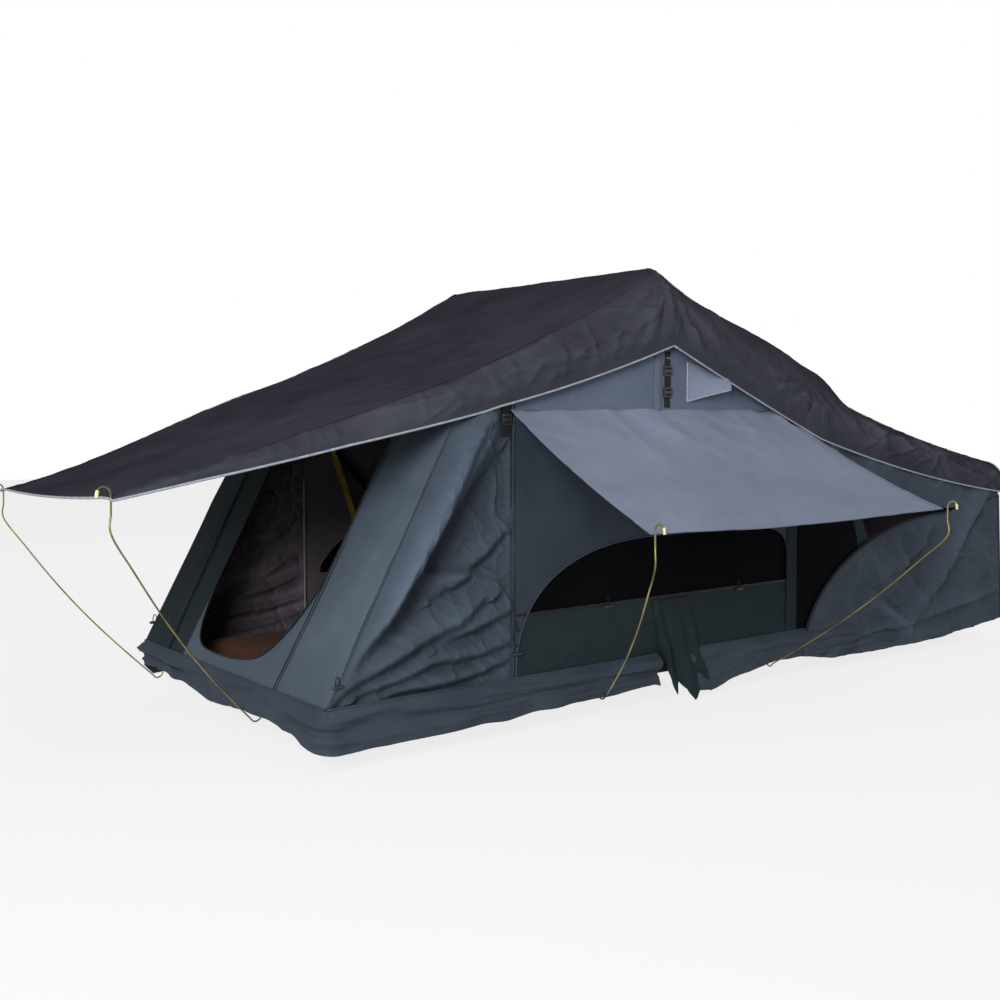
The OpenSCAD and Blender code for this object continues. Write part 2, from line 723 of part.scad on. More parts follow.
// Bow in its own plane, legs along x from the pin, turned up to its angle
module bow(reach, y, angle) {
    translate([0, 0, axis_z]) rotate([0, -angle, 0]) difference() {
        union() {
            both_sides() {
                translate([0, -y, 0]) rotate([0, 90, 0]) cylinder(r = tube_r, h = reach - bend_r);
                translate([0, -y, 0]) rotate([90, 0, 0]) cylinder(r = eye_r, h = eye_w, center = true);
                mirror([0, 1, 0]) translate([reach - bend_r, y - bend_r, 0])
                    rotate_extrude(angle = 90) translate([bend_r, 0]) circle(tube_r);
            }
            translate([reach, 0, 0]) rotate([90, 0, 0]) cylinder(r = tube_r, h = 2 * (y - bend_r), center = true);
        }
        both_sides() translate([0, -y, 0]) rotate([90, 0, 0])
            cylinder(r = pin_r + pin_play, h = eye_w + 2, center = true);
    }
}

module bow_sleeves(y, angle) {
    wall = 1.5;
    translate([0, 0, axis_z]) rotate([0, -angle, 0]) both_sides()
        translate([sleeve_at, -y, 0]) rotate([0, 90, 0]) difference() {
            cylinder(r = tube_r + wall, h = sleeve_l);
            translate([0, 0, -1]) cylinder(r = tube_r + 0.05, h = sleeve_l + 2);
        }
}

// Strap outside the near wall, hanging down from z at x
module strap(x, z, l) {
    translate([x - strap_w / 2, -wall_y - wall_t - layer_gap - strap_t, z - l]) cube([strap_w, strap_t, l]);
}

// Ladder-lock buckle on a strap, centred at x and z
module buckle(x, z) {
    w = strap_w + 9;
    h = 30;
    t = 5;
    y = wall_y + wall_t + 2 * layer_gap + strap_t;
    translate([x, -y - t, z]) difference() {
        translate([-w / 2, 0, -h / 2]) cube([w, t, h]);
        for (s = [-1, 1]) translate([-strap_w / 2, -1, s * h / 4 - 3]) cube([strap_w, t + 2, 6]);
    }
}
// Middle of the front bow's strap, beside the leg
front_strap = [(side_reach - front_strap_below) * cos(front_angle) - front_strap_off,
               axis_z + (side_reach - front_strap_below) * sin(front_angle)];

module vent_hood() {
    t = 2;
    top = vent_z + vent_h;
    translate([vent_x, -wall_y - wall_t - layer_gap, 0]) rotate([90, 0, 90]) linear_extrude(vent_w)
        difference() {
            polygon([[0, top], [-vent_out, vent_z], [0, vent_z]]);
            polygon([[2 * t, top - 5 * t], [-vent_out + t, vent_z - 1], [2 * t, vent_z - 1]]);
        }
}

module toggle(x) {
    y = wall_y + wall_t + layer_gap + toggle_d / 2;
    translate([x, -y, window_z - toggle_d]) rotate([0, 8, 0]) cylinder(d = toggle_d, h = toggle_l, center = true);
}

// Bunched skirt cloth hanging over the hinge
module bellows_side() {
    y0 = wall_y + wall_t + layer_gap;
    cols = steps(-1, 1, 6 * bellows_pleats);
    rows = steps(0, 1, 7);
    uneven = 14;
    function spread(r) = lerp(0.4, 1, r);
    function turn(c) = 360 * bellows_pleats * (c + 1) / 2;
    function pleat(c, r) = bellows_depth * spread(r) * (0.5 - 0.5 * cos(turn(c))) * (1 - 0.2 * c);
    function spot(c, r, out) = [
        uneven + bellows_half * spread(r) * c,
        -y0 - out - pleat(c, r),
        lerp(bellows_top, -bellows_low + uneven * cos(turn(c)) + uneven * c * c, r)
    ];
    sheet([for (c = cols) [for (r = rows) spot(c, 1 - r, wall_t)]],
          [for (c = cols) [for (r = rows) spot(c, 1 - r, 0)]]);
}

module mounting_rail() {
    translate([-half_l / 2, 0, 0]) difference() {
        translate([-rail_l / 2, -rail_gap / 2 - rail_w / 2, 0]) cube([rail_l, rail_w, rail_h]);
        translate([-rail_l / 2 - 1, -rail_gap / 2 - rail_w / 2 + rail_wall, rail_wall])
            cube([rail_l + 2, rail_w - 2 * rail_wall, rail_h - 2 * rail_wall]);
        for (s = [-1, 1]) translate([s * bolt_gap / 2, -rail_gap / 2, -1]) cylinder(d = bolt_d, h = rail_wall + 2);
    }
}

// Mustard webbing strap across the far corner of the front bow
module bow_strap() {
    clear = 0.75 * strap_w / 2 + layer_gap;
    from = [side_reach - tube_r - clear, front_y - 3 * bend_r];
    to = [side_reach - 2.7 * bend_r, front_y - tube_r - clear];
    run = to - from;
    translate([0, 0, axis_z]) rotate([0, -front_angle, 0]) translate([from[0], from[1], -strap_t / 2])
        rotate([0, 0, atan2(run[1], run[0])]) translate([0, -strap_w / 2, 0])
            cube([norm(run), strap_w, strap_t]);
}

// Nodes on the base half
module floor_panel_base() color(alu) placed() mirror([1, 0, 0]) floor_panel();
module frame_base() color(alu) placed() mirror([1, 0, 0]) frame_bars();
module corners_base() color(black) placed() mirror([1, 0, 0]) corner_blocks();
module rails() color(alu) placed() both_sides() mounting_rail();
module leaf_base() color(steel) placed() both_sides() leaf(-1, leaf_y, floor_z);
module leaf_bolts_base() color(steel) placed() leaf_bolts(-1);
module hinge_pins() color(steel) placed() both_sides() hinge_pin();
module pin_nuts() color(steel) placed() both_sides() pin_nut();
module mattress_base() color(brown) placed() mirror([1, 0, 0]) mattress();
module skirt_base() color(cloth_blue) placed() {
    both_sides() skirt_side(-half_l, -skirt_in);
    skirt_end();
}
module wall_base_near() color(cloth_blue) placed() side_wall(-1);
module wall_base_far() color(cloth_blue) placed() mirror([0, 1, 0]) side_wall(-1);
module mesh_base() color(mesh_black) placed() both_sides() window_mesh(-1);
module door_wall() color(cloth_blue) placed() end_wall();
module zips() color(black) placed() door_zips();
module fly_base() color(fly_grey) placed() fly(-half_l, -split_gap / 2, 14);
module piping_base() color(pipe_grey) placed() edge_piping(-half_l, -split_gap / 2, 14);
module bellows() color(cloth_blue) placed() both_sides() bellows_side();
module sockets_base() color(black) placed() {
    both_sides() socket(left_foot, [0, -1]);
    socket(near_entrance_foot, [-1, 0]);
    socket(far_entrance_foot, [-1, 0]);
}
module toggles_base() color(black) placed() both_sides() toggle(-toggle_left);

// Nodes on the fold-out half
module floor_panel_fold() color(alu) placed() floor_panel();
module frame_fold() color(alu) placed() frame_bars();
module corners_fold() color(black) placed() corner_blocks();
module leaf_fold() color(steel) placed() both_sides() leaf(1, fold_leaf_y, floor_z);
module leaf_bolts_fold() color(steel) placed() leaf_bolts(1);
module mattress_fold() color(brown) placed() mattress();
module skirt_fold_half() color(cloth_blue) placed() both_sides() skirt_side(skirt_in, half_l);
module wall_fold_near() color(cloth_blue) placed() side_wall(1);
module wall_fold_far() color(cloth_blue) placed() mirror([0, 1, 0]) side_wall(1);
module mesh_fold() color(mesh_black) placed() both_sides() window_mesh(1);
module inner_wall() color(cloth_blue) placed() mirror([1, 0, 0]) end_wall();
module fly_fold() color(fly_grey) placed() fly(split_gap / 2, half_l, 14);
module piping_fold() color(pipe_grey) placed() edge_piping(split_gap / 2, half_l, 14);
module sockets_fold() color(black) placed() both_sides() {
    socket(right_foot, [0, -1]);
    socket(vestibule_near_foot, [1, 0]);
}
module toggles_fold() color(black) placed() both_sides() toggle(toggle_right);
module vents() color(cloth_blue) placed() both_sides() vent_hood();

// Nodes on the bows
module bow_front() color(black) placed() bow(side_reach, front_y, front_angle);
module sleeves_front() color(steel) placed() bow_sleeves(front_y, front_angle);
module straps_front() color(black) placed() both_sides()
    strap(front_strap[0], front_strap[1] + front_strap_l / 2, front_strap_l);
module buckles_front() color(black) placed() both_sides() buckle(front_strap[0], front_strap[1]);
module corner_strap() color("#8f7a2c") placed() bow_strap();
module bow_ridge() color(black) placed() bow(ridge_reach, ridge_y, 90);
module straps_ridge() color(black) placed() both_sides() strap(0, ridge_strap_z, ridge_strap_l);
module buckles_ridge() color(black) placed() both_sides() for (t = [0.35, 0.73])
    buckle(0, ridge_strap_z - t * ridge_strap_l);
module bow_rear() color(black) placed() bow(side_reach, rear_y, rear_angle);

// Nodes on the entrance awning
module fly_entrance() color(fly_grey) placed() {
    fly(-awning_x, -half_l - split_gap, 8);
    both_sides() tab(entrance_corner, 180);
}
module piping_entrance() color(pipe_grey) placed() {
    edge_piping(-awning_x, -half_l - split_gap, 8);
    end_piping(-awning_x);
}
module rods_entrance() color(rod_yellow) placed() {
    rod(near_entrance_foot, [-1, 0], entrance_tip);
    rod(far_entrance_foot, [-1, 0], [entrance_tip[0], -entrance_tip[1], entrance_tip[2]]);
}

// Nodes on the vestibule
module fly_vestibule() color(fly_grey) placed() fly(half_l + split_gap, vestibule_x, 10);
module piping_vestibule() color(pipe_grey) placed() {
    edge_piping(half_l + split_gap, vestibule_x, 10);
    end_piping(vestibule_x);
}
module vestibule_walls() color(cloth_blue) placed() {
    both_sides() vestibule_panel();
    vestibule_end();
}

module rods_vestibule() color(rod_yellow) placed() both_sides() rod(vestibule_near_foot, [1, 0], vestibule_tip);

// Nodes on the side awnings
module awning_near_base() color(cloth_blue) placed() side_awning(-1);
module rod_near_base() color(rod_yellow) placed() rod(left_foot, [0, -1], left_tip);
module awning_near_fold() color(cloth_blue) placed() side_awning(1);
module rod_near_fold() color(rod_yellow) placed() rod(right_foot, [0, -1], right_tip);
module awning_far_base() color(cloth_blue) placed() mirror([0, 1, 0]) side_awning(-1);
module rod_far_base() color(rod_yellow) placed() mirror([0, 1, 0]) rod(left_foot, [0, -1], left_tip);
module awning_far_fold() color(cloth_blue) placed() mirror([0, 1, 0]) side_awning(1);
module rod_far_fold() color(rod_yellow) placed() mirror([0, 1, 0]) rod(right_foot, [0, -1], right_tip);

floor_panel_base();
frame_base();
corners_base();
rails();
leaf_base();
leaf_bolts_base();
hinge_pins();
pin_nuts();
mattress_base();
skirt_base();
wall_base_near();
wall_base_far();
mesh_base();
door_wall();
zips();
fly_base();
piping_base();
bellows();
sockets_base();
toggles_base();
floor_panel_fold();
frame_fold();
corners_fold();
leaf_fold();
leaf_bolts_fold();
mattress_fold();
skirt_fold_half();
wall_fold_near();
wall_fold_far();
mesh_fold();
inner_wall();
fly_fold();
piping_fold();
sockets_fold();
toggles_fold();
vents();
bow_front();
sleeves_front();
straps_front();
buckles_front();
corner_strap();
bow_ridge();
straps_ridge();
buckles_ridge();
bow_rear();
fly_entrance();
piping_entrance();
rods_entrance();
fly_vestibule();
piping_vestibule();
vestibule_walls();
rods_vestibule();
awning_near_base();
rod_near_base();
awning_near_fold();
rod_near_fold();
awning_far_base();
rod_far_base();
awning_far_fold();
rod_far_fold();
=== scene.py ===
# %% [markdown]
# # A fold-out roof top tent
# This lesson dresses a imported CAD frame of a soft-shell roof top tent. The hard parts, such as the base frames,
# hinges and bows, come from the frame. The cloth is made here: a fly over three bows, walls, awnings, a skirt and
# mattresses. x runs along the tent from the entrance, y across it and z up, all in metres.

# %% Load the frame
import json
import math

import bmesh
import bpy
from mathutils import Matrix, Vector, noise

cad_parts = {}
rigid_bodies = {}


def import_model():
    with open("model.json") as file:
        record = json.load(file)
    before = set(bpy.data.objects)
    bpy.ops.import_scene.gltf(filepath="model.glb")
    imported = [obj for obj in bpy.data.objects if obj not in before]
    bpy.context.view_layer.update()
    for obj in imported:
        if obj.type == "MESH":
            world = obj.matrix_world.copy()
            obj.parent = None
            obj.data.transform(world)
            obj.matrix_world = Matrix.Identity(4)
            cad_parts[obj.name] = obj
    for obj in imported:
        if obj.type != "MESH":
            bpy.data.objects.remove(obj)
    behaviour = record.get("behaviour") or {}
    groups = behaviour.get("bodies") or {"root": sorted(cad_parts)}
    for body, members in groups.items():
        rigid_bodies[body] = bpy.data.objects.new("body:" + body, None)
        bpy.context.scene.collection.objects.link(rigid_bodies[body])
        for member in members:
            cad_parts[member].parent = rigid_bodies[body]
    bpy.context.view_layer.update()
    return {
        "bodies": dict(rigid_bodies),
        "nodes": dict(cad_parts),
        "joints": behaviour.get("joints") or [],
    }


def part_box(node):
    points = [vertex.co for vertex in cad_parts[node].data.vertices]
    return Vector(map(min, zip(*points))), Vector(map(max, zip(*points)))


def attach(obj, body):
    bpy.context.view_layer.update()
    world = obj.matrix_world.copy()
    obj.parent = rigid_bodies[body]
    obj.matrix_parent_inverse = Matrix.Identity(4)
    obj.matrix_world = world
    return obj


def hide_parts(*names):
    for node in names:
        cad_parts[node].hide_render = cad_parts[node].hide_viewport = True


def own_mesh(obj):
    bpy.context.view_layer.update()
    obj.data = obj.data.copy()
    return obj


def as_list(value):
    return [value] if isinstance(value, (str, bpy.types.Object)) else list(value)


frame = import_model()
FOLD = next(j for j in frame["joints"] if j["name"] == "fold")
HINGE_X, AXIS_Z = FOLD["pos_m"][0], FOLD["pos_m"][2]
print("hinge line at x", HINGE_X, "and z", AXIS_Z, "bodies", sorted(frame["bodies"]))


def linked(name, data):
    """A new object in the scene."""
    made = bpy.data.objects.new(name, data)
    bpy.context.scene.collection.objects.link(made)
    return made


# %% [markdown]
# ## Camera
# The picture was taken from a little below the ridge, in front of the entrance's near corner. The place, the turn
# and the lens follow from the vanishing points of the base's edges, so that the model lies over the picture.

# %% Camera
PICTURE = 1000
FOCAL_PX = 1198.8
HORIZON_PX = 414
VIEW_PLAN = Vector((0.6118, 0.7910, 0))
SENSOR_MM = 36

camera = linked("camera", bpy.data.cameras.new("camera"))
camera.data.sensor_width = SENSOR_MM
camera.data.lens = SENSOR_MM * FOCAL_PX / PICTURE
camera.location = (HINGE_X - 2.652, -3.19, 0.83)
view_dir = VIEW_PLAN.normalized() - Vector((0, 0, (PICTURE / 2 - HORIZON_PX) / FOCAL_PX))
camera.rotation_euler = view_dir.to_track_quat("-Z", "Y").to_euler()
bpy.context.scene.camera = camera
print("lens", round(camera.data.lens, 2), "mm at", [round(c, 3) for c in camera.location])

# %% [markdown]
# ## Finishes
# Each finish is one node tree. One small function adds a node with its settings and links, and one turns a hex
# colour, which is sRGB, into the linear numbers that the shader wants. Patterns read Object coordinates, which are
# metres here, or the UV map of a cloth piece, which is in metres too.

# %% Helpers for finishes
def linear(hex_colour):
    parts = [int(hex_colour[i:i + 2], 16) / 255 for i in (1, 3, 5)]
    return (*[c / 12.92 if c <= 0.04045 else ((c + 0.055) / 1.055) ** 2.4 for c in parts], 1)


def add(tree, kind, links=None, ramp=None, **settings):
    """Adds one node; settings are attributes, or inputs where the name is one, and links feed its inputs."""
    node = tree.nodes.new("ShaderNode" + kind)
    for key, value in settings.items():
        if hasattr(node, key):
            setattr(node, key, value)
    for key, value in settings.items():
        if not hasattr(node, key):
            node.inputs[key.replace("_", " ")].default_value = value
    for key, socket in (links or {}).items():
        tree.links.new(socket, node.inputs[key])
    if ramp:
        for element, (position, colour) in zip(node.color_ramp.elements, ramp):
            element.position, element.color = position, colour
    return node


def finish(name, colour, roughness, metallic=0.0, sheen=0.0, specular=0.5):
    """A new finish with its main shader; returns the material, its tree and the shader."""
    material = bpy.data.materials.new(name)
    material.use_nodes = True
    tree = material.node_tree
    shader = tree.nodes["Principled BSDF"]
    for key, value in {"Base Color": linear(colour), "Roughness": roughness, "Metallic": metallic,
                       "Sheen Weight": sheen, "Specular IOR Level": specular}.items():
        shader.inputs[key].default_value = value
    return material, tree, shader


# %% [markdown]
# ### Cloth
# The body is a coated polyester-cotton canvas, the fly a coated polyester. Up close both are plain weaves with
# threads half a millimetre apart, which is too fine to show here, so the weave is drawn at 3 mm. Larger clouds of
# lighter and darker colour stand for handling and for dust, and low creases left from packing are a bump of their
# own on top of the folds that the meshes have. The colour also follows an attribute that holds how far each point of
# a mesh was pushed out by its folds, in metres: crests are painted lighter and valleys darker, as painted light and
# shade.

# %% Cloth finishes
THREAD = 0.003


def cloth_finish(name, dark, light, roughness, sheen=0.0, weave=0.10, crease=0.35, cloud=3.0, specular=0.2):
    material, tree, shader = finish(name, light, roughness, sheen=sheen, specular=specular)
    place = add(tree, "TexCoord")
    uv = place.outputs["UV"]
    clouds = add(tree, "TexNoise", {"Vector": place.outputs["Object"]}, Scale=cloud, Detail=6, Roughness=0.65)
    mixed = add(tree, "ValToRGB", {"Fac": clouds.outputs["Fac"]},
                ramp=[(0.32, linear(dark)), (0.68, linear(light))])
    # Painted light and shade: lighter on the crests of folds, darker in their valleys.
    crest = add(tree, "Attribute", attribute_name="crest")
    fold_shade = add(tree, "MapRange", {"Value": crest.outputs["Fac"]},
               From_Min=-0.03, From_Max=0.06, To_Min=0.55, To_Max=1.9)
    fold_shaded = add(tree, "VectorMath", {0: mixed.outputs["Color"], "Scale": fold_shade.outputs["Result"]}, operation="SCALE")
    tree.links.new(fold_shaded.outputs["Vector"], shader.inputs["Base Color"])
    warp, weft = (add(tree, "TexWave", {"Vector": uv}, wave_type="BANDS", bands_direction=way,
                      Scale=1 / (THREAD * 20) * math.pi, Distortion=0.6) for way in "XY")
    threads = add(tree, "Math", {0: warp.outputs["Fac"], 1: weft.outputs["Fac"]}, operation="MULTIPLY")
    weave_bump = add(tree, "Bump", {"Height": threads.outputs["Value"]}, Strength=weave, Distance=0.001)
    creases = add(tree, "TexNoise", {"Vector": place.outputs["Object"]}, noise_type="RIDGED_MULTIFRACTAL",
                  Scale=7, Detail=3, Roughness=0.5)
    crease_bump = add(tree, "Bump", {"Height": creases.outputs["Fac"], "Normal": weave_bump.outputs["Normal"]},
                      Strength=crease, Distance=0.008)
    tree.links.new(crease_bump.outputs["Normal"], shader.inputs["Normal"])
    return material


CANVAS = cloth_finish("body canvas", "#2b333d", "#38414c", 0.8)
# Painted light: a lighter copy of the body canvas, for the entrance wall and the wall inside the vestibule.
CANVAS_DOOR_LIT = cloth_finish("entrance canvas", "#3c4651", "#4a5561", 0.8)
CANVAS_GABLE = cloth_finish("gable canvas", "#4d5666", "#5a6374", 0.8)
# Painted shade: a darker copy of the body canvas for the window panel under the side awning.
CANVAS_PANEL_SHADE = cloth_finish("window panel canvas", "#252c35", "#303842", 0.8)
# Painted shade: the darkest copy of the body canvas, for cloth in shadow under the awning, behind the vestibule panel
# and beside the doorway.
CANVAS_SHADE = cloth_finish("body canvas panel", "#1a2326", "#232d31", 0.85, specular=0.1)
LINING = cloth_finish("canvas lining", "#534d54", "#6b646c", 0.85)
AWNING = cloth_finish("awning canvas", "#697183", "#778092", 0.75, 0.02)
FLY = cloth_finish("fly polyester", "#303138", "#3d3e47", 0.8, specular=0.0)
FLY_UNDER = cloth_finish("fly coating", "#242429", "#2e2e34", 0.7)
PIPING = cloth_finish("reflective piping", "#7c818c", "#949aa5", 0.45, cloud=60, crease=0.0)
# The cover is brown, darkened further as painted shade for the inside of the tent.
MATTRESS = cloth_finish("mattress cover", "#432a1d", "#5a3a29", 0.85, 0.02, cloud=12)
MESH = cloth_finish("insect mesh", "#030405", "#07080b", 0.95, weave=0.4, crease=0.0, specular=0.05)
WEBBING = cloth_finish("black webbing", "#0d0e10", "#1a1b1e", 0.7, weave=0.6, crease=0.0, cloud=40)
MUSTARD = cloth_finish("mustard webbing", "#8d7826", "#b3993c", 0.7, weave=0.6, crease=0.0, cloud=40)
ZIP = cloth_finish("zip tape", "#0b0c0e", "#151619", 0.6, weave=0.6, crease=0.0, cloud=40)
print("cloth finishes made")

# %% [markdown]
# ### Metal, plastic and panel
# The frame bars are mill-finish aluminium with fine lines along the extrusion. Hinges are zinc-plated steel, the
# bows satin black tube, and the rods spring steel with a yellow passivation that varies along the wire. Corner
# blocks and buckles are moulded nylon with a fine grain.

# %% Hard finishes
def hard_finish(name, dark, light, roughness, metallic, stretch, scale, bump, specular=0.5):
    material, tree, shader = finish(name, light, roughness, metallic, specular=specular)
    place = add(tree, "TexCoord")
    turned = add(tree, "Mapping", {"Vector": place.outputs["Object"]}, Scale=stretch)
    grain = add(tree, "TexNoise", {"Vector": turned.outputs["Vector"]}, Scale=scale, Detail=5, Roughness=0.6)
    mixed = add(tree, "ValToRGB", {"Fac": grain.outputs["Fac"]},
                ramp=[(0.3, linear(dark)), (0.7, linear(light))])
    tree.links.new(mixed.outputs["Color"], shader.inputs["Base Color"])
    rough = add(tree, "MapRange", {"Value": grain.outputs["Fac"]}, To_Min=roughness - 0.08,
                To_Max=roughness + 0.1)
    tree.links.new(rough.outputs["Result"], shader.inputs["Roughness"])
    lines = add(tree, "Bump", {"Height": grain.outputs["Fac"]}, Strength=bump, Distance=0.0005)
    tree.links.new(lines.outputs["Normal"], shader.inputs["Normal"])
    return material


ALUMINIUM = hard_finish("mill aluminium", "#9ea1a5", "#c3c6ca", 0.38, 1.0, (0.04, 1, 1), 300, 0.15)
STEEL = hard_finish("zinc plated steel", "#8d9095", "#b4b7bc", 0.32, 1.0, (1, 1, 1), 140, 0.1)
TUBE = hard_finish("satin black tube", "#0e0f10", "#1c1d1f", 0.4, 0.0, (1, 1, 1), 220, 0.08)
NYLON = hard_finish("moulded nylon", "#0f1012", "#1a1b1d", 0.55, 0.0, (1, 1, 1), 900, 0.25)
ROD = hard_finish("passivated spring steel", "#3f3822", "#9d9450", 0.35, 0.6, (1, 1, 1), 9, 0.05)
ROD_TIP = hard_finish("pale rod tip", "#b9b574", "#d6d29a", 0.4, 0.0, (1, 1, 1), 60, 0.05)
PANEL = hard_finish("film faced panel", "#26272a", "#34363a", 0.5, 0.0, (1, 1, 1), 24, 0.08)
for slot_finish, nodes in (
    (ALUMINIUM, ("frame_base", "frame_fold", "rails")),
    (NYLON, ("corners_base", "corners_fold", "sockets_base", "sockets_fold", "buckles_front", "buckles_ridge",
             "toggles_base", "toggles_fold")),
    (STEEL, ("leaf_base", "leaf_fold", "leaf_bolts_base", "leaf_bolts_fold", "hinge_pins", "pin_nuts",
             "sleeves_front")),
    (TUBE, ("bow_front", "bow_ridge", "bow_rear")),
    (PANEL, ("floor_panel_base", "floor_panel_fold")),
):
    for node_name in nodes:
        slots = frame["nodes"][node_name].data.materials
        slots.clear()
        slots.append(slot_finish)
print("hard finishes on the frame's own parts")

# %% [markdown]
# ## How the cloth pieces are made
# Every cloth piece starts as a flat bmesh grid whose UV map is the cut cloth in metres. Its points are then moved to
# a surface, which is a small function of the two directions of the cut, and pushed in and out along their normals
# by folds. Solidify gives the cloth its thickness, with a lining on the inside.

# %% Helpers for pieces
CLOTH_T = 0.0014
NARROWEST = 0.011
NEAR, UP = (0, -1, 0), (0, 0, 1)
SIDES = ((-1, "near"), (1, "far"))


def mesh_of(bm, name):
    """A smoothly shaded mesh from a bmesh, which is used up."""
    mesh = bpy.data.meshes.new(name)
    bm.to_mesh(mesh)
    bm.free()
    for polygon in mesh.polygons:
        polygon.use_smooth = True
    return mesh


def place(bm, name, body, materials, nodes=(), slot=None):
    """Makes the bmesh, drawn from the hinge line, an object that rides on a body."""
    bmesh.ops.translate(bm, verts=bm.verts, vec=(HINGE_X, 0, 0))
    mesh = mesh_of(bm, name)
    for material in materials:
        mesh.materials.append(material)
    piece = linked(name, mesh)
    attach(piece, body)
    if nodes:
        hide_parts(*nodes)
    return piece


def grid(nu, nv, size, spot, look=NEAR, depth=None):
    """A cloth grid of nu by nv faces that looks one way on the whole, with its folds.

    spot gives a point's place from its two shares of the cut, and depth how far a fold pushes a point out.
    """
    bm = bmesh.new()
    uv = bm.loops.layers.uv.new("UVMap")
    bmesh.ops.create_grid(bm, x_segments=nu, y_segments=nv, size=0.5)
    for face in bm.faces:
        for loop in face.loops:
            loop[uv].uv = ((loop.vert.co.x + 0.5) * size[0], (loop.vert.co.y + 0.5) * size[1])
    for vert in bm.verts:
        vert.co = spot(vert.co.x + 0.5, vert.co.y + 0.5)
    bmesh.ops.remove_doubles(bm, verts=bm.verts, dist=1e-5)
    bm.normal_update()
    facing = sum((f.normal * f.calc_area() for f in bm.faces), Vector())
    if facing.dot(Vector(look)) < 0:
        bmesh.ops.reverse_faces(bm, faces=bm.faces)
    bm.normal_update()
    return push(bm, depth) if depth else bm


def push(bm, depth):
    """Moves each point along its normal by depth, a function of its place, and keeps the depth for the finish."""
    bm.normal_update()
    unfolded = bm.verts.layers.float_vector.new("unfolded")
    crest = bm.verts.layers.float.new("crest")
    for vert, step in [(v, depth(v.co)) for v in bm.verts]:
        vert[crest], vert[unfolded] = step, vert.co
        vert.co += vert.normal * step
    return bm


def part_of(bm, low, high):
    """A copy of the part between two values of x."""
    part = bm.copy()
    for x, turn in ((low, -1), (high, 1)):
        if x is not None:
            bmesh.ops.bisect_plane(part, geom=part.verts[:] + part.edges[:] + part.faces[:], dist=1e-6,
                                   plane_co=(x, 0, 0), plane_no=(turn, 0, 0), clear_outer=True)
    return part


def mirrored(bm, flip=(1, -1, 1)):
    """A copy on the far side, or turned round to the other end."""
    other = bm.copy()
    bmesh.ops.scale(other, verts=other.verts, vec=flip)
    bmesh.ops.reverse_faces(other, faces=other.faces)
    return other


def pack_flat(piece):
    """Gives a piece its own copy of its mesh."""
    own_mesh(piece)
    return piece


def cut_area(bm):
    """The area of a sheet's cut, which is its surface as it was before its folds were pushed in."""
    unfolded = bm.verts.layers.float_vector.get("unfolded")
    if unfolded is None:
        return sum(f.calc_area() for f in bm.faces)
    total = 0
    for face in bm.faces:
        first, *rest = [v[unfolded] for v in face.verts]
        total += sum((a - first).cross(b - first).length for a, b in zip(rest, rest[1:])) / 2
    bm.verts.layers.float_vector.remove(unfolded)
    return total


def sheet(bm, name, body, outer, inner=LINING, nodes=(), slot="body_cloth", thick=CLOTH_T,
          packs=True):
    """A finished sheet of cloth with its lining."""
    area = cut_area(bm)
    piece = place(bm, name, body, (outer, inner), nodes, slot)
    layer = piece.modifiers.new("thickness", "SOLIDIFY")
    layer.thickness, layer.offset, layer.material_offset = thick, -1, 1
    piece.modifiers.new("even shading", "WEIGHTED_NORMAL")
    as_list(list(nodes)[:1])
    return pack_flat(piece) if packs else piece


def lerp(a, b, t):
    return a + (b - a) * t


def even(a, b, n):
    """n even steps from a to b, with both ends."""
    return [lerp(a, b, i / n) for i in range(n + 1)]


def through(p0, p1, p2, p3, f):
    """A share f of the way from p1 to p2 on a smooth curve through four values or points."""
    return p1 + 0.5 * f * (p2 - p0 + f * (2 * p0 - 5 * p1 + 4 * p2 - p3 + f * (3 * (p1 - p2) + p3 - p0)))


def clamp(t):
    return min(1, max(0, t))


def smooth(a, b, x):
    t = clamp((x - a) / (b - a))
    return t * t * (3 - 2 * t)


def between(values, x):
    """The step of a rising row of values that x is in, and the share of the way along it."""
    i = max([k for k in range(len(values) - 1) if x >= values[k] - 1e-9], default=0)
    return i, (x - values[i]) / (values[i + 1] - values[i])


def folds(x, y, seed, octaves=2):
    """Soft ridges and valleys between -1 and 1."""
    total, size = 0, 1
    for i in range(octaves):
        total += size * (1 - 3.2 * abs(noise.noise((x * 2 ** i, y * 2 ** i, seed + 7.3 * i))))
        size *= 0.5
    return max(-1, min(1, total / 1.5))


# %% [markdown]
# ## Fly
# The fly is one sheet over the three bows, out to the entrance awning on one side and over the vestibule on the
# other. It is flat across the bows' crossbars, turns down round their corners and hangs to a piped edge. It is made
# as one continuous sheet and cut apart only where the base folds and where its ends tuck in.

# %% Fly shape
SIDE_REACH, RIDGE_REACH, SIDE_ANGLE = 1.043, 1.09, math.radians(133.6)
COVER = 0.0129
FLY_HALF = 0.622
FRONT = (SIDE_REACH * math.cos(SIDE_ANGLE), AXIS_Z + SIDE_REACH * math.sin(SIDE_ANGLE) + COVER)
RIDGE = (0.0, AXIS_Z + RIDGE_REACH + COVER)
REAR = (-FRONT[0], FRONT[1])
AWNING_END, VESTIBULE_END = (-1.73, 0.65), (1.925, 0.64)
HALF_L = 1.19
SECTION = ((0, 0), (0.42, 0), (0.74, 0.0), (0.86, 0.035), (0.93, 0.25), (0.975, 0.6), (1, 1))
STATIONS = (0, 0.26, 0.46, 0.55, 0.66, 0.82, 1)


def span(x, a, b, sag):
    t = (x - a[0]) / (b[0] - a[0])
    return lerp(a[1], b[1], t) - 4 * sag * t * (1 - t)


def station(table, x):
    """A value between the stations of a table of (x, value)."""
    i, f = between([row[0] for row in table], x)
    return lerp(table[i][1], table[i + 1][1], f)


def puff(x):
    """Slack that stands up over the rear bow."""
    return 0.062 * smooth(0.1, 0.62, x) * smooth(0.98, 0.78, x)


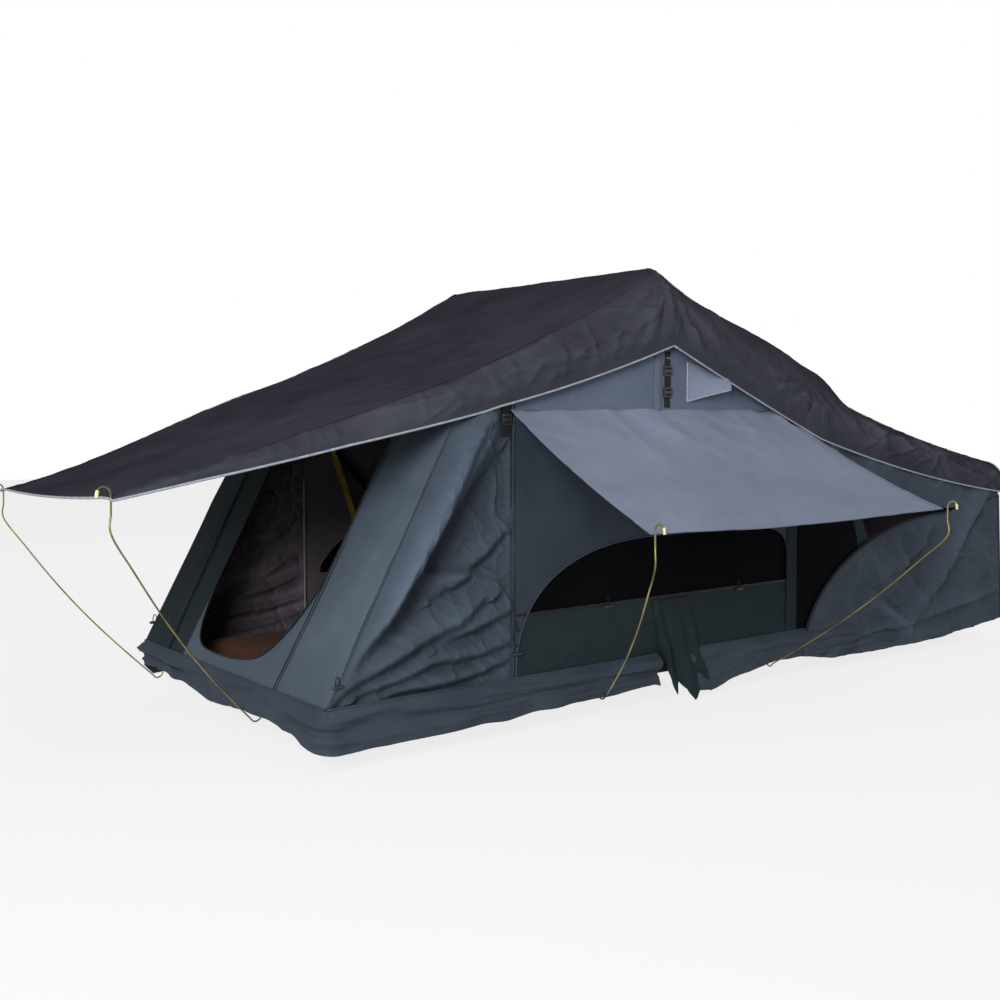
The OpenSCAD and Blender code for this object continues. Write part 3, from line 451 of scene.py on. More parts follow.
def fly_top(x):
    if x < FRONT[0]:
        return span(x, FRONT, AWNING_END, 0.012)
    if x < 0:
        return span(x, FRONT, RIDGE, 0.012)
    return (span(x, RIDGE, REAR, 0.004) if x < REAR[0] else span(x, REAR, VESTIBULE_END, 0.024)) + puff(x)


DROPS = ((-1.73, 0.006), (-1.526, 0.02), (-1.134, 0.056), (-0.666, 0.112), (0.0, 0.24), (1.91, 0.125))


def fly_drop(x):
    return station(DROPS, x) + puff(x)


def section(t):
    """Share of the half width and of the drop at a share t of the way down a side, on a smooth curve."""
    i, f = between(STATIONS, t)
    ends = [SECTION[max(0, i - 1)], SECTION[i], SECTION[i + 1], SECTION[min(len(SECTION) - 1, i + 2)]]
    across, drop = (through(*[e[c] for e in ends], f) for c in (0, 1))
    return clamp(across), drop


def fly_spot(x, t):
    """A point of the fly at x, with t from -1 at the near edge to 1 at the far edge."""
    across, drop = section(abs(t))
    slack = 0.012 * (1 - across ** 2) * (abs(math.sin(math.pi * x / 0.7193)) if abs(x) < 0.72 else
                                         smooth(0.72, 1.3, abs(x)))
    slant = (1 + math.copysign(across, t)) / 2 * smooth(-0.8, AWNING_END[0], x)
    return Vector((x + 0.105 * slant, math.copysign(across * FLY_HALF, t),
                   fly_top(x) - drop * fly_drop(x) - slack - 0.045 * slant))


def sharp(x, y, seed):
    """Thin raised creases with flat cloth between them, from 0 to 1."""
    return max(0.0, 1 - 5.5 * abs(noise.noise((x, y, seed)))) ** 1.6


def fly_folds(p):
    """Packing creases all over, streaks down the hanging sides, and creases fanned from the bows' corners."""
    side = abs(p.y)
    rear = smooth(-0.05, 0.1, p.x)
    turn_y = lerp(0.53, 0.56, rear)
    hang = smooth(turn_y, turn_y + 0.045, side) * (0.4 if p.y > 0 else 1.0)
    out = 0.001 * folds(p.x * 2.2 + p.y * 1.3, p.y * 2.0 - p.x * 0.9, 3, 3)
    out += 0.0016 * sharp(p.x * 3.1 + p.y * 2, p.y * 2.6 - p.x * 1.2, 5)
    out += 0.001 * sharp(p.x * 8, p.y * 7 + p.z * 5, 6)
    slope = 0.44 if p.x < 0 else -0.42
    across, along = p.z - slope * p.x, p.x + slope * p.z
    slack = 0.45 + 0.25 * smooth(-0.9, -0.4, p.x) - 0.25 * smooth(-0.1, 0.15, p.x) + 1.2 * smooth(0.8, 1.1, p.x)
    out += hang * slack * (
        0.012 * folds(along * 1.9, across * 11, 11, 2) + 0.013 * sharp(along * 3 + across * 5, across * 13, 12)
        + 0.01 * sharp(along * 7 - across * 6, across * 6, 13)
        + 0.006 * sharp(along * 9 + across * 11, across * 12, 14))
    for corner, reach, deep in (((0, 0.55, 1.27), 0.5, 0.014), ((FRONT[0], 0.55, 0.93), 0.45, 0.012),
                                ((REAR[0], 0.55, 0.97), 0.5, 0.014), ((-1.73, 0.58, 0.65), 0.5, 0.004)):
        away = Vector((p.x - corner[0], (side - corner[1]), p.z - corner[2]))
        r = away.length
        turn = math.atan2(away.z + away.y * 0.7, away.x)
        fan = deep * smooth(0.02, 0.15, r) * math.exp(-r / reach) * folds(turn * 4.6, r * 1.6, corner[0] + 20, 2)
        out += fan * lerp(lerp(0.16, 0.04, rear), 1.0, hang)
    edge = smooth(0.0, 0.012, FLY_HALF - side) * smooth(0.0, 0.06, p.x - AWNING_END[0]) * smooth(
        0.0, 0.06, VESTIBULE_END[0] - p.x)
    return out * edge


FLY_LONG, FLY_WIDE = VESTIBULE_END[0] - AWNING_END[0], 1.7
fly = grid(420, 160, (FLY_LONG, FLY_WIDE), lambda u, v: fly_spot(AWNING_END[0] + FLY_LONG * u, 2 * v - 1),
           UP, fly_folds)
FLY_PARTS = (("entrance", "entrance_awning", None, -HALF_L), ("base", "base", -HALF_L, 0.0),
             ("fold", "fold", 0.0, HALF_L), ("vestibule", "vestibule", HALF_L, None))
for part, body, low, high in FLY_PARTS:
    sheet(part_of(fly, low, high), f"fly_{part}_sheet", body, FLY, FLY_UNDER, nodes=(f"fly_{part}",),
          slot="fly_cloth")
fly.free()
print("fly from", AWNING_END, "over", RIDGE, "to", VESTIBULE_END)

# %% [markdown]
# ### Seams and piping of the fly
# Flat-felled seams run where the top turns down, and one runs down each end of the ridge. They are strips of the
# same surface, a little above it. The edge is bound with a round reflective piping, made as a curve with a bevel and
# turned into a mesh.

# %% Fly seams and piping
SEAM_T, SEAM_SPAN = 0.565, 0.014
SEAM_W, SEAM_THICK = 0.012, 0.001
SEWN = 0.0016
PIPING_R = 0.0031


def raised(spot):
    """The same surface, lifted off along z and y by a sewn layer's thickness."""
    def lifted(u, v):
        p = spot(u, v)
        return p + Vector((0, math.copysign(SEWN, p.y) * smooth(0.5, 0.6, abs(p.y)), SEWN))
    return lifted


def tube(name, body, path, radius, material, slot, nodes=()):
    """A round piece along a smooth path drawn from the hinge line."""
    curve = bpy.data.curves.new(name, "CURVE")
    curve.dimensions, curve.bevel_depth, curve.bevel_resolution = "3D", radius, 3
    curve.use_fill_caps = True
    line = curve.splines.new("POLY")
    line.points.add(len(path) - 1)
    for point, co in zip(line.points, path):
        point.co = (co[0], co[1], co[2], 1)
    made = bpy.data.objects.new(name + "_line", curve)
    mesh = bpy.data.meshes.new_from_object(made)
    bm = bmesh.new()
    bm.from_mesh(mesh)
    bmesh.ops.remove_doubles(bm, verts=bm.verts, dist=1e-6)
    bmesh.ops.recalc_face_normals(bm, faces=bm.faces)
    bpy.data.objects.remove(made)
    bpy.data.curves.remove(curve)
    bpy.data.meshes.remove(mesh)
    return pack_flat(place(bm, name, body, (material,), nodes, slot))


def edge_path(low, high, side):
    return [fly_spot(x, side) + Vector((0, side * 0.001, -0.002)) for x in even(low, high, 80)]


for part, body, low, high in FLY_PARTS:
    x0 = AWNING_END[0] if low is None else low
    x1 = VESTIBULE_END[0] if high is None else high
    if None in (low, high):
        root, end, out = (x1, x0, -0.002) if low is None else (x0, x1, 0.002)
        across = [fly_spot(end, -1 + 2 * i / 60) + Vector((out, 0, 0)) for i in range(1, 60)]
        edges = {"edge": edge_path(root, end, -1) + across + edge_path(end, root, 1)}
    else:
        edges = {word: edge_path(x0, x1, side) for side, word in SIDES}
    for word, path in edges.items():
        tube(f"piping_{part}_{word}", body, path, PIPING_R, PIPING, "piping", (f"piping_{part}",))
    for side, word in SIDES:
        seam = grid(120, 2, (x1 - x0, SEAM_W), raised(
            lambda u, v: fly_spot(lerp(x0, x1, u), side * (SEAM_T + (v - 0.5) * SEAM_SPAN))), UP, fly_folds)
        sheet(seam, f"fly_seam_{part}_{word}", body, FLY, FLY_UNDER, slot="fly_cloth", thick=SEAM_THICK)
for side, word in SIDES:
    seam = grid(2, 40, (SEAM_W, 0.3), raised(
        lambda u, v: fly_spot(-0.016 + SEAM_SPAN * u, side * lerp(0.5, 0.995, v))), (0, side, 1), fly_folds)
    sheet(seam, f"fly_ridge_seam_{word}", "base", FLY, FLY_UNDER, slot="fly_cloth", thick=SEAM_THICK)
print("fly seams and piping")

# %% [markdown]
# ## Side walls
# A side wall is sewn from panels: a gathered gusset beside the entrance, a panel with a low half-moon window, a
# gable above the awning's seam and a plain panel beside the vestibule. The window is a superellipse, so the panel
# round it is a grid from that curve out to the panel's straight edges. The near side is made and then mirrored.

# %% Wall shapes
WALL_Y = 0.5915
BAY = 0.6
SEAM_X, SEAM_Z = -BAY, 0.84
SILL_Z, FOOT_Z = 0.05, 0.092
FRONT_STOP = (-0.7315, 0.93)
ARCH = dict(half=0.588, rise=0.375, foot=0.085, power=2.5, square=9.0)


def wall_top(x):
    """Where a side wall ends, tucked under the hanging edge of the fly."""
    return fly_top(x) - 0.55 * fly_drop(x) - 0.022


def end_slope(z):
    """How far out the sloping end of a half is at a height."""
    return -lerp(HALF_L, -FRONT_STOP[0], clamp((z - FOOT_Z) / (FRONT_STOP[1] - FOOT_Z)))


FOLD_LINES = (
    (0.06, 0.088, ((-0.645, 0.72), (-0.749, 0.605), (-0.865, 0.452), (-0.949, 0.326), (-1.03, 0.249), (-1.11, 0.174),
                   (-1.18, 0.112))),
    (0.036, 0.04, ((-0.704, 0.307), (-0.786, 0.256), (-0.893, 0.209), (-0.997, 0.17), (-1.096, 0.128),
                   (-1.165, 0.095))),
    (0.030, 0.032, ((-0.612, 0.181), (-0.749, 0.168), (-0.865, 0.153), (-0.976, 0.122), (-1.083, 0.098))),
    (0.022, 0.026, ((-0.61, 0.133), (-0.778, 0.112), (-0.893, 0.097), (-1.017, 0.085))),
    (0.026, 0.03, ((-0.608, 0.273), (-0.696, 0.246), (-0.778, 0.225), (-0.85, 0.2))),
    (0.016, 0.024, ((-0.865, 0.417), (-0.778, 0.416), (-0.704, 0.41))),
    (0.018, 0.035, ((-0.69, 0.79), (-0.76, 0.7), (-0.829, 0.579), (-0.9, 0.46))),
    (0.020, 0.03, ((-0.62, 0.5), (-0.68, 0.44), (-0.76, 0.385), (-0.86, 0.33))),
)
STRAP_X, STRAP_TOP, STRAP_LOW = -0.6249, 0.8595, 0.7695


def line_fold(p, line, wide):
    """Height of a fold beside a line: a rounded ridge above it and a valley below, tapering at both ends."""
    best, at, side = 9.0, 0.0, 1.0
    for i in range(len(line) - 1):
        ax, az = line[i]
        dx, dz = line[i + 1][0] - ax, line[i + 1][1] - az
        t = clamp(((p.x - ax) * dx + (p.z - az) * dz) / (dx * dx + dz * dz))
        ex, ez = p.x - ax - dx * t, p.z - az - dz * t
        d = math.hypot(ex, ez)
        if d < best:
            best, at, side = d, (i + t) / (len(line) - 1), 1.0 if dx * ez - dz * ex < 0 else -1.0
    q = side * best / wide
    ridge = math.exp(-0.9 * (q - 0.8) ** 2) if q > 0.8 else math.exp(-3.0 * (q - 0.8) ** 2)
    return (ridge - 0.5 * math.exp(-7 * (q + 0.1) ** 2) - 0.25 * math.exp(-1.2 * (q + 0.8) ** 2)) * math.sin(
        math.pi * min(0.94, 0.1 + 0.86 * at)) ** 0.6


def wall_folds(p):
    """Folds along the lines that the gathered corner pulls, and small creases; flat at the sewn edges."""
    out = 0.0022 * folds(p.x * 2.5, p.z * 3.2, 51, 3) + 0.0018 * sharp(p.x * 6, p.z * 6, 52)
    if p.x < SEAM_X + 0.005:
        free = smooth(0.0, 0.05, p.x - end_slope(p.z)) * smooth(0.0, 0.03, SEAM_X - p.x + 0.004)
        wander = Vector((p.x + 0.012 * noise.noise((p.x * 6, p.z * 6, 53)), 0,
                         p.z + 0.012 * noise.noise((p.x * 6, p.z * 6, 54))))
        out += free * sum(deep * line_fold(wander, line, wide) for deep, wide, line in FOLD_LINES)
        out += free * (0.006 * sharp(p.x * 9 + p.z * 3, p.z * 8, 55)
                       + 0.0035 * sharp(p.x * 17 + p.z * 6, p.z * 15, 56))
        pinch = math.exp(-((p.x - STRAP_X) / 0.04) ** 2) * smooth(STRAP_LOW - 0.07, STRAP_LOW, p.z)
        out = lerp(out, -0.004, pinch)
        out *= smooth(0.0, 0.02, p.x - end_slope(p.z))
    return out + 0.002


def gusset(u, v):
    z = lerp(SILL_Z, lerp(0.86, wall_top(SEAM_X), u), v)
    return Vector((lerp(end_slope(z), SEAM_X, u), -WALL_Y, z))


def arch_point(turn):
    c, s = math.cos(turn), max(0.0, math.sin(turn))
    e = 2 / (ARCH["square"] if c > 0 else ARCH["power"])
    return Vector((math.copysign(abs(c) ** e, c) * ARCH["half"], -WALL_Y, ARCH["foot"] + ARCH["rise"] * s ** e))


def round_arch(u, v):
    inner = arch_point(math.pi * (1 - u))
    away = Vector((inner.x, 0, inner.z - ARCH["foot"]))
    grow = min(BAY / max(abs(away.x), 1e-6), (SEAM_Z - ARCH["foot"]) / max(away.z, 1e-6))
    outer = Vector((away.x * grow, -WALL_Y, ARCH["foot"] + away.z * grow))
    return inner.lerp(outer, v)


def gable(u, v):
    x = lerp(-BAY, BAY, u)
    return Vector((x, -WALL_Y, lerp(SEAM_Z, wall_top(x), v)))


def end_panel(u, v):
    z = lerp(SILL_Z, lerp(wall_top(BAY), 0.83, u), v)
    return Vector((lerp(BAY, -end_slope(z), u), -WALL_Y, z))


def flap(u, v):
    return Vector((lerp(-ARCH["half"], ARCH["half"], u), -WALL_Y + 0.0006, lerp(SILL_Z, 0.272, v)))


def window(u, v):
    x = lerp(-0.545, 0.586, u)
    power = ARCH["square"] if x > 0 else ARCH["power"]
    top = ARCH["foot"] + ARCH["rise"] * max(0.0, 1 - min(1, abs(x) / ARCH["half"]) ** power) ** (1 / power)
    return Vector((x, -WALL_Y + 0.003, lerp(0.262, max(top + 0.012, 0.275), v)))


def flap_folds(p):
    return 0.004 * folds(p.x * 3, p.z * 6, 61, 2) + 0.003 * sharp(p.x * 7, p.z * 9, 62)


def low_folds(p):
    return 0.002 * folds(p.x * 3, p.z * 5, 61, 2)


# A black mesh window, made taller than the window so that its black also stands in as painted shade for the dark gap
# behind the vestibule panel.
def end_window_and_shade(u, v):
    return Vector((lerp(0.64, 0.64 + 0.36 * (1 - 0.35 * v ** 3), u), -WALL_Y - 0.0045,
                   lerp(0.06, 0.62 - 0.05 * u ** 2, v)))


# %% Make the walls
def both_sides(bm, name, parts, outer, inner=LINING, slot="body_cloth", node=None, thick=CLOTH_T):
    """Near and far pieces of one panel, cut at the hinge line where it crosses it."""
    far = mirrored(bm)
    for whole, word in ((bm, "near"), (far, "far")):
        for body, low, high in parts:
            half = body.split("_")[-1]
            nodes = (node.format(half=half, side=word),) if node else ()
            sheet(part_of(whole, low, high), f"{name}_{half}_{word}", body.format(side=word), outer, inner,
                  nodes, slot, thick)
        whole.free()


ACROSS = (("base", None, 0.0), ("fold", 0.0, None))
BASE_ONLY, FOLD_ONLY = (("base", None, None),), (("fold", None, None),)
WALLS = "wall_{half}_{side}"
# The window panel, the end wall behind the vestibule panel and the window's flap get darker copies of the body canvas
# as painted shade.
for spot, depth, name, parts, count, size, outer, node in (
    (gusset, wall_folds, "wall_gusset", BASE_ONLY, (170, 220), (0.6, 0.85), CANVAS, WALLS),
    (round_arch, wall_folds, "wall_window_panel", ACROSS, (150, 50), (1.8, 0.5), CANVAS_PANEL_SHADE, None),
    (gable, wall_folds, "wall_gable", ACROSS, (120, 30), (1.2, 0.3), CANVAS_GABLE, None),
    (end_panel, low_folds, "wall_end", FOLD_ONLY, (60, 80), (0.6, 0.85), CANVAS_SHADE, WALLS),
    (flap, flap_folds, "window_flap", ACROSS, (120, 24), (1.18, 0.22), CANVAS_SHADE, None),
    (window, low_folds, "window_mesh", ACROSS, (110, 20), (1.1, 0.2), MESH, "mesh_{half}"),
    (end_window_and_shade, low_folds, "end_window_mesh", FOLD_ONLY, (40, 50), (0.36, 0.54), MESH, None),
):
    inner, slot = (MESH, "mesh") if outer is MESH else (LINING, "body_cloth")
    both_sides(grid(*count, size, spot, depth=depth), name, parts, outer, inner, slot=slot, node=node)
hem = grid(120, 2, (1.18, NARROWEST), lambda u, v: flap(u, lerp(0.965, 1.0, v)) - Vector((0, 0.0045, 0)))
both_sides(hem, "window_flap_hem", ACROSS, ZIP)
# Painted shade: a strip of the darkest canvas over the window panel's right edge, where it lies in shadow.
shade_strip = grid(4, 60, (0.026, 0.6), lambda u, v: Vector((
    lerp(0.579, 0.605, u), -WALL_Y - 0.0065, lerp(0.09, 0.69, v))))
both_sides(shade_strip, "window_border", FOLD_ONLY, CANVAS_SHADE)
print("walls made")

# %% [markdown]
# ## Entrance wall and the wall inside the vestibule
# Each end of the body is a sloping wall with a doorway. The wall is a ring of cloth from the doorway's rounded edge
# out to the wall's own edges. The doorway's edge has a zip, and zips for the outer door run up both sides.

# %% End walls
SLOPE = Vector((FRONT_STOP[0] + HALF_L, 0, FRONT_STOP[1] - FOOT_Z))
SLOPE_L = SLOPE.length
DOOR_LINE = ((0.84, -0.3), (0.742, -0.322), (0.512, -0.328), (0.33, -0.32), (0.22, -0.285), (0.132, -0.232),
             (0.069, -0.16), (0.043, -0.038), (0.038, 0.11), (0.052, 0.205), (0.11, 0.258), (0.234, 0.284),
             (0.385, 0.288), (0.517, 0.29), (0.645, 0.296), (0.83, 0.29), (0.88, 0.22), (0.893, 0.0), (0.885, -0.22))
DOOR_MID = Vector((0.47, 0.0))


def on_slope(s, y, lift=0.0):
    """A point of the entrance wall: s up the slope, y across, lifted off outwards."""
    up = SLOPE.normalized()
    out = Vector((-up.z, 0, up.x))
    return Vector((-HALF_L - 0.002, y, FOOT_Z)) + up * s + out * lift


def rounded(points, steps=8):
    """A smooth path through the points."""
    path = []
    for i in range(len(points) - 1):
        four = [points[max(0, min(len(points) - 1, k))] for k in range(i - 1, i + 3)]
        path += [through(*four, j / steps) for j in range(steps)]
    return path + [points[-1]]


door_path = rounded([Vector(q) for q in DOOR_LINE + DOOR_LINE[:1]], 12)


def wall_edge(inner):
    """Where a line from the doorway's middle through a point of its edge leaves the wall."""
    way = (inner - DOOR_MID).normalized()
    low, high = 0.0, 1.5
    for _ in range(40):
        r = (low + high) / 2
        a, b = DOOR_MID + way * r
        width = 0.5925 - 0.09 * max(0, a - (SLOPE_L - 0.06)) / 0.06
        low, high = (r, high) if 0.0 <= a <= SLOPE_L and abs(b) <= width else (low, r)
    return DOOR_MID + way * low


def end_wall(u, v):
    k = u * (len(door_path) - 1)
    i = min(len(door_path) - 2, int(k))
    inner = door_path[i].lerp(door_path[i + 1], k - i)
    return on_slope(*inner.lerp(wall_edge(inner), v))


OUT = (-1, 0, 0.5)
entrance = grid(228, 40, (2.6, 0.3), end_wall, OUT, lambda p: (
    0.004 * folds(p.y * 4 + p.z * 2, p.z * 2, 71, 2) * smooth(0.1, 0.3, p.z) + 0.001))
inside = mirrored(entrance, (-1, 1, 1))
# The entrance wall and the wall inside the vestibule get the lighter canvas as painted light.
front = sheet(entrance, "entrance_wall", "base", CANVAS_DOOR_LIT, nodes=("door_wall",))
# The panel on the far side of the doorway gets the darkest canvas as painted shade.
for extra in (CANVAS_SHADE, LINING):
    front.data.materials.append(extra)
for polygon in front.data.polygons:
    if polygon.center.y > 0.29:
        polygon.material_index = 2
sheet(inside, "vestibule_inner_wall", "fold", CANVAS_DOOR_LIT, nodes=("inner_wall",))


def at_share(line, v):
    """The point of a line that is nearest to a share v of its steps."""
    return line[round(v * (len(line) - 1))]


tube("doorway_zip", "base", [on_slope(*q, 0.003) for q in door_path], 0.0028, ZIP, "zip_tape")
ZIP_W = 0.012
# The near zip's tape gets the lighter canvas as painted light, the far one the darkest canvas as painted shade.
for word, canvas, line in (
    ("near", CANVAS_DOOR_LIT, ((0.86, -0.334), (0.6, -0.336), (0.344, -0.334), (0.15, -0.326), (0.0, -0.318))),
    ("far", CANVAS_SHADE, ((0.8, 0.43), (0.631, 0.44), (0.361, 0.421), (0.103, 0.406), (0.0, 0.395))),
):
    line = rounded([Vector(q) for q in line], 12)
    tape = grid(2, len(line) - 1, (ZIP_W, 0.87), lambda u, v: on_slope(
        *(at_share(line, v) + Vector((0, ZIP_W * (u - 0.5)))), 0.0062), OUT)
    sheet(tape, f"door_zip_{word}", "base", canvas, ZIP, nodes=("zips",), slot="zip_tape")
    tube(f"door_zip_coil_{word}", "base", [on_slope(*q, 0.007) for q in line], 0.0022, ZIP, "zip_tape")
print("end walls made")

# %% [markdown]
# ## Skirt and bellows
# The skirt hides the joint of the tent and its base. It is one band from the bellows at the hinge round the
# entrance end and back, and two short bands on the fold-out half. It hangs from a sewn edge, so its hem waves. At
# the hinge the spare cloth bunches into bellows with pointed tips.

# %% Skirt and bellows
SKIRT_TOP, SKIRT_OUT, SKIRT_IN, SKIRT_FOLD_IN, CORNER_R = FOOT_Z, 0.594, 0.03, 0.1, 0.03
SKIRT_H = 0.09
END_OUT = HALF_L + 0.004
SIDE_RUN, END_RUN, TURN_RUN = END_OUT - CORNER_R - SKIRT_IN, 2 * (SKIRT_OUT - CORNER_R), math.pi / 2 * CORNER_R
SKIRT_L = 2 * SIDE_RUN + END_RUN + math.pi * CORNER_R


def skirt_path(s):
    """A point and outward direction at a distance s along the band, from the near hinge round the entrance end."""
    if s < SIDE_RUN:
        return Vector((-SKIRT_IN - s, -SKIRT_OUT, 0)), Vector(NEAR)
    s -= SIDE_RUN
    if s < TURN_RUN:
        a = s / CORNER_R
        out = Vector((-math.sin(a), -math.cos(a), 0))
        return Vector((-END_OUT + CORNER_R, -SKIRT_OUT + CORNER_R, 0)) + out * CORNER_R, out
    s -= TURN_RUN
    if s < END_RUN / 2 + 1e-9:
        return Vector((-END_OUT, -SKIRT_OUT + CORNER_R + s, 0)), Vector((-1, 0, 0))
    at, out = skirt_path(2 * (SIDE_RUN + TURN_RUN) + END_RUN - s - (SIDE_RUN + TURN_RUN))
    return Vector((at.x, -at.y, 0)), Vector((out.x, -out.y, 0))


HEM = ((-1.25, -0.026), (-0.9, -0.024), (-0.3, -0.006), (-0.05, 0.0), (0.1, -0.045), (0.2, -0.048), (0.31, -0.0265),
       (0.53, 0.0), (1.25, 0.0))
END_HEM = ((-0.6, -0.024), (-0.45, 0.006), (-0.2, 0.02), (0.085, -0.009), (0.235, 0.016), (0.6, 0.02))


def band(point, v, s):
    """Hangs a skirt from a point and its outward direction: v runs from the sewn edge to the hem."""
    at, out = point
    wave = noise.noise((s * 3.4, 0.3, 81)) + 0.6 * noise.noise((s * 9, v * 0.8, 82))
    hem = lerp(station(HEM, at.x), station(END_HEM, at.y), abs(out.x)) + 0.004 * noise.noise((s * 11, 5, 83))
    roll = math.sin(math.pi * min(1, v * 2.0)) * (
        0.5 + noise.noise((s * 2.3, 1.7, 84)) + 0.5 * noise.noise((s * 7, v * 2, 85)))
    drape = 0.003 + v ** 0.7 * (0.014 + 0.022 * wave) + 0.024 * roll
    drape += 0.008 * v * folds(s * 6 + v * 0.7, v * 1.2, 86, 2)
    drape += 0.015 * math.sin(math.pi * v) * folds(s * 2.2 + v * 0.8, v * 2.8, 87, 2)
    return at + out * max(0.001, drape) + Vector((0, 0, lerp(SKIRT_TOP, hem, v)))


def round_skirt(u, v):
    s = SKIRT_L * u
    return band(skirt_path(s), v, s)


def fold_skirt(u, v):
    x = lerp(SKIRT_FOLD_IN, HALF_L, u)
    return band((Vector((x, -SKIRT_OUT, 0)), Vector(NEAR)), v, 9 + x)


skirt = grid(520, 22, (SKIRT_L, SKIRT_H), round_skirt, (-1, 0, 0))
sheet(skirt, "skirt_round_base", "base", CANVAS, CANVAS, ("skirt_base",))
side_skirt = grid(200, 22, (HALF_L - SKIRT_FOLD_IN, SKIRT_H), fold_skirt)
both_sides(side_skirt, "skirt", FOLD_ONLY, CANVAS, CANVAS, node="skirt_fold_half")

PLEAT = ((0.0, 0.0, 0.05), (0.05, 0.9, 0.0), (0.137, 1.0, -0.04), (0.24, 0.25, -0.004), (0.36, 0.75, -0.03),
         (0.52, 1.0, -0.0685), (0.72, 0.3, -0.034), (0.93, 0.6, -0.052), (1.0, 0.1, -0.046))


def bellows(u, v):
    """Spare cloth at the hinge: shares across, out from the wall and the height of the hem at each pleat."""
    i, f = between([pleat[0] for pleat in PLEAT], u)
    out, low = lerp(PLEAT[i][1], PLEAT[i + 1][1], smooth(0, 1, f)), lerp(PLEAT[i][2], PLEAT[i + 1][2], f)
    left, right = lerp(-0.05, 0.005, v ** 1.7), lerp(0.105, 0.21, v ** 1.3)
    return Vector((lerp(left, right, u) + 0.008 * noise.noise((u * 4, v * 3, 91)),
                   -SKIRT_OUT - 0.003 - 0.026 * out * smooth(-0.25, 0.7, v), lerp(0.258, low, v)))


# The bellows get the darkest canvas as painted shade.
hanging = grid(120, 60, (0.2, 0.3), bellows, depth=lambda p: (
    0.005 * folds(p.x * 14 + p.z * 4, p.z * 8, 95, 2) * smooth(0.26, 0.2, p.z)))
both_sides(hanging, "bellows", BASE_ONLY, CANVAS_SHADE, CANVAS_SHADE, node="bellows")
print("skirt", round(SKIRT_L, 3), "m round the base half")

# %% [markdown]
# ## Side awnings
# Each awning is one sheet sewn to the wall above the window and held out at its two corners by rods. It sags a
# little, its outer edge draws in between the corners, and its hem is turned and sewn.

# %% Side awnings
AWN_L, AWN_R, AWN_OUT, AWN_Z = -0.61, 0.633, 1.1413, 0.54


def awning(u, v):
    x = lerp(AWN_L, AWN_R, u)
    root = min(SEAM_Z, fly_top(x) - fly_drop(x) + 0.005)
    draw_in = 0.02 * (1 - (2 * u - 1) ** 2)
    sag = 4 * 0.014 * v * (1 - v) + 0.012 * math.sin(math.pi * u) * v ** 2
    return Vector((x, -lerp(WALL_Y + 0.004, AWN_OUT - draw_in, v), lerp(root, AWN_Z, v) - sag))


def awning_folds(p):
    out = 0.0015 * folds(p.x * 2.4, p.y * 2.4 + p.x, 101, 3)
    for corner in (Vector((AWN_L, -AWN_OUT, AWN_Z)), Vector((AWN_R, -AWN_OUT, AWN_Z))):
        away = p - corner
        turn = math.atan2(away.y, away.x)
        out += 0.004 * smooth(0.02, 0.12, away.length) * math.exp(-away.length / 0.35) * folds(
            turn * 3.5, away.length, 111, 1)
    out += 0.002 * sharp(p.x * 3 + p.y * 4, p.y * 3 - p.x, 122)
    return out + 0.005 * smooth(0.66, 0.8, p.z) * folds(p.x * 7, p.z * 2, 121, 2)


def awning_hem(which):
    """Strips of the awning beside its free edges: outer, left and right."""
    def spot(u, v):
        at = {"outer": (u, 1 - 0.02 * v), "left": (0.012 * v, u), "right": (1 - 0.012 * v, u)}[which]
        return awning(*at) + Vector((0, 0, SEWN))
    return spot


AWNING_HALVES = tuple((f"{{side}}_awning_{half}", low, high) for half, low, high in ACROSS)
AWNING_CUT = (1.25, 0.63)
roof = grid(150, 70, AWNING_CUT, awning, UP, awning_folds)
both_sides(roof, "side_awning", AWNING_HALVES, AWNING, CANVAS, slot="awning_cloth", node="awning_{side}_{half}")
for which, halves, count, size in (("outer", AWNING_HALVES, 150, (AWNING_CUT[0], 0.013)),
                                   ("left", AWNING_HALVES[:1], 60, (AWNING_CUT[1], 0.015)),
                                   ("right", AWNING_HALVES[1:], 60, (AWNING_CUT[1], 0.015))):
    hem = grid(count, 2, size, awning_hem(which), UP, awning_folds)
    both_sides(hem, f"awning_hem_{which}", halves, AWNING, AWNING, slot="awning_cloth", thick=0.0012)
print("side awnings reach", AWN_OUT, "m out")

# %% [markdown]
# ## Vestibule
# The vestibule hangs below the fly beyond the fold-out half. Each side panel has a bound upper edge that rises in a
# curve from the base, and the end leans in a little, with a zipped doorway and a hem.

# %% Vestibule
VEST_Y, VEST_LOW, VEST_END, VEST_LEAN, VEST_CORNER = 0.606, 0.002, 1.928, 0.045, 0.505
CURVE_X, CURVE_RUN, CURVE_RISE, CURVE_TOP_X = 0.66, 0.84, 0.453, 1.5
VEST_HEM = ((0.66, 0.0), (0.85, -0.028), (1.45, -0.03), (1.9, 0.002))


def curve_top(u):
    """A point of the side panel's upper edge: a quarter of an ellipse, then a nearly level stretch."""
    if u < 0.7:
        a = math.pi / 2 * u / 0.7
        return CURVE_X + CURVE_RUN * (1 - math.cos(a)), VEST_LOW + CURVE_RISE * math.sin(a)
    t = (u - 0.7) / 0.3
    return lerp(CURVE_TOP_X, VEST_END - VEST_LEAN, t), lerp(VEST_LOW + CURVE_RISE, VEST_CORNER, t)


def end_x(z):
    """How far out the leaning end is at a height."""
    return VEST_END - VEST_LEAN * z / VEST_CORNER


def vestibule_side(u, v):
    x, top = curve_top(u)
    low_x = lerp(x, VEST_END, smooth(0.6, 1, u)) if u > 0.6 else x
    return Vector((lerp(x, low_x, v), -VEST_Y, lerp(top, station(VEST_HEM, lerp(x, low_x, v)), v)))


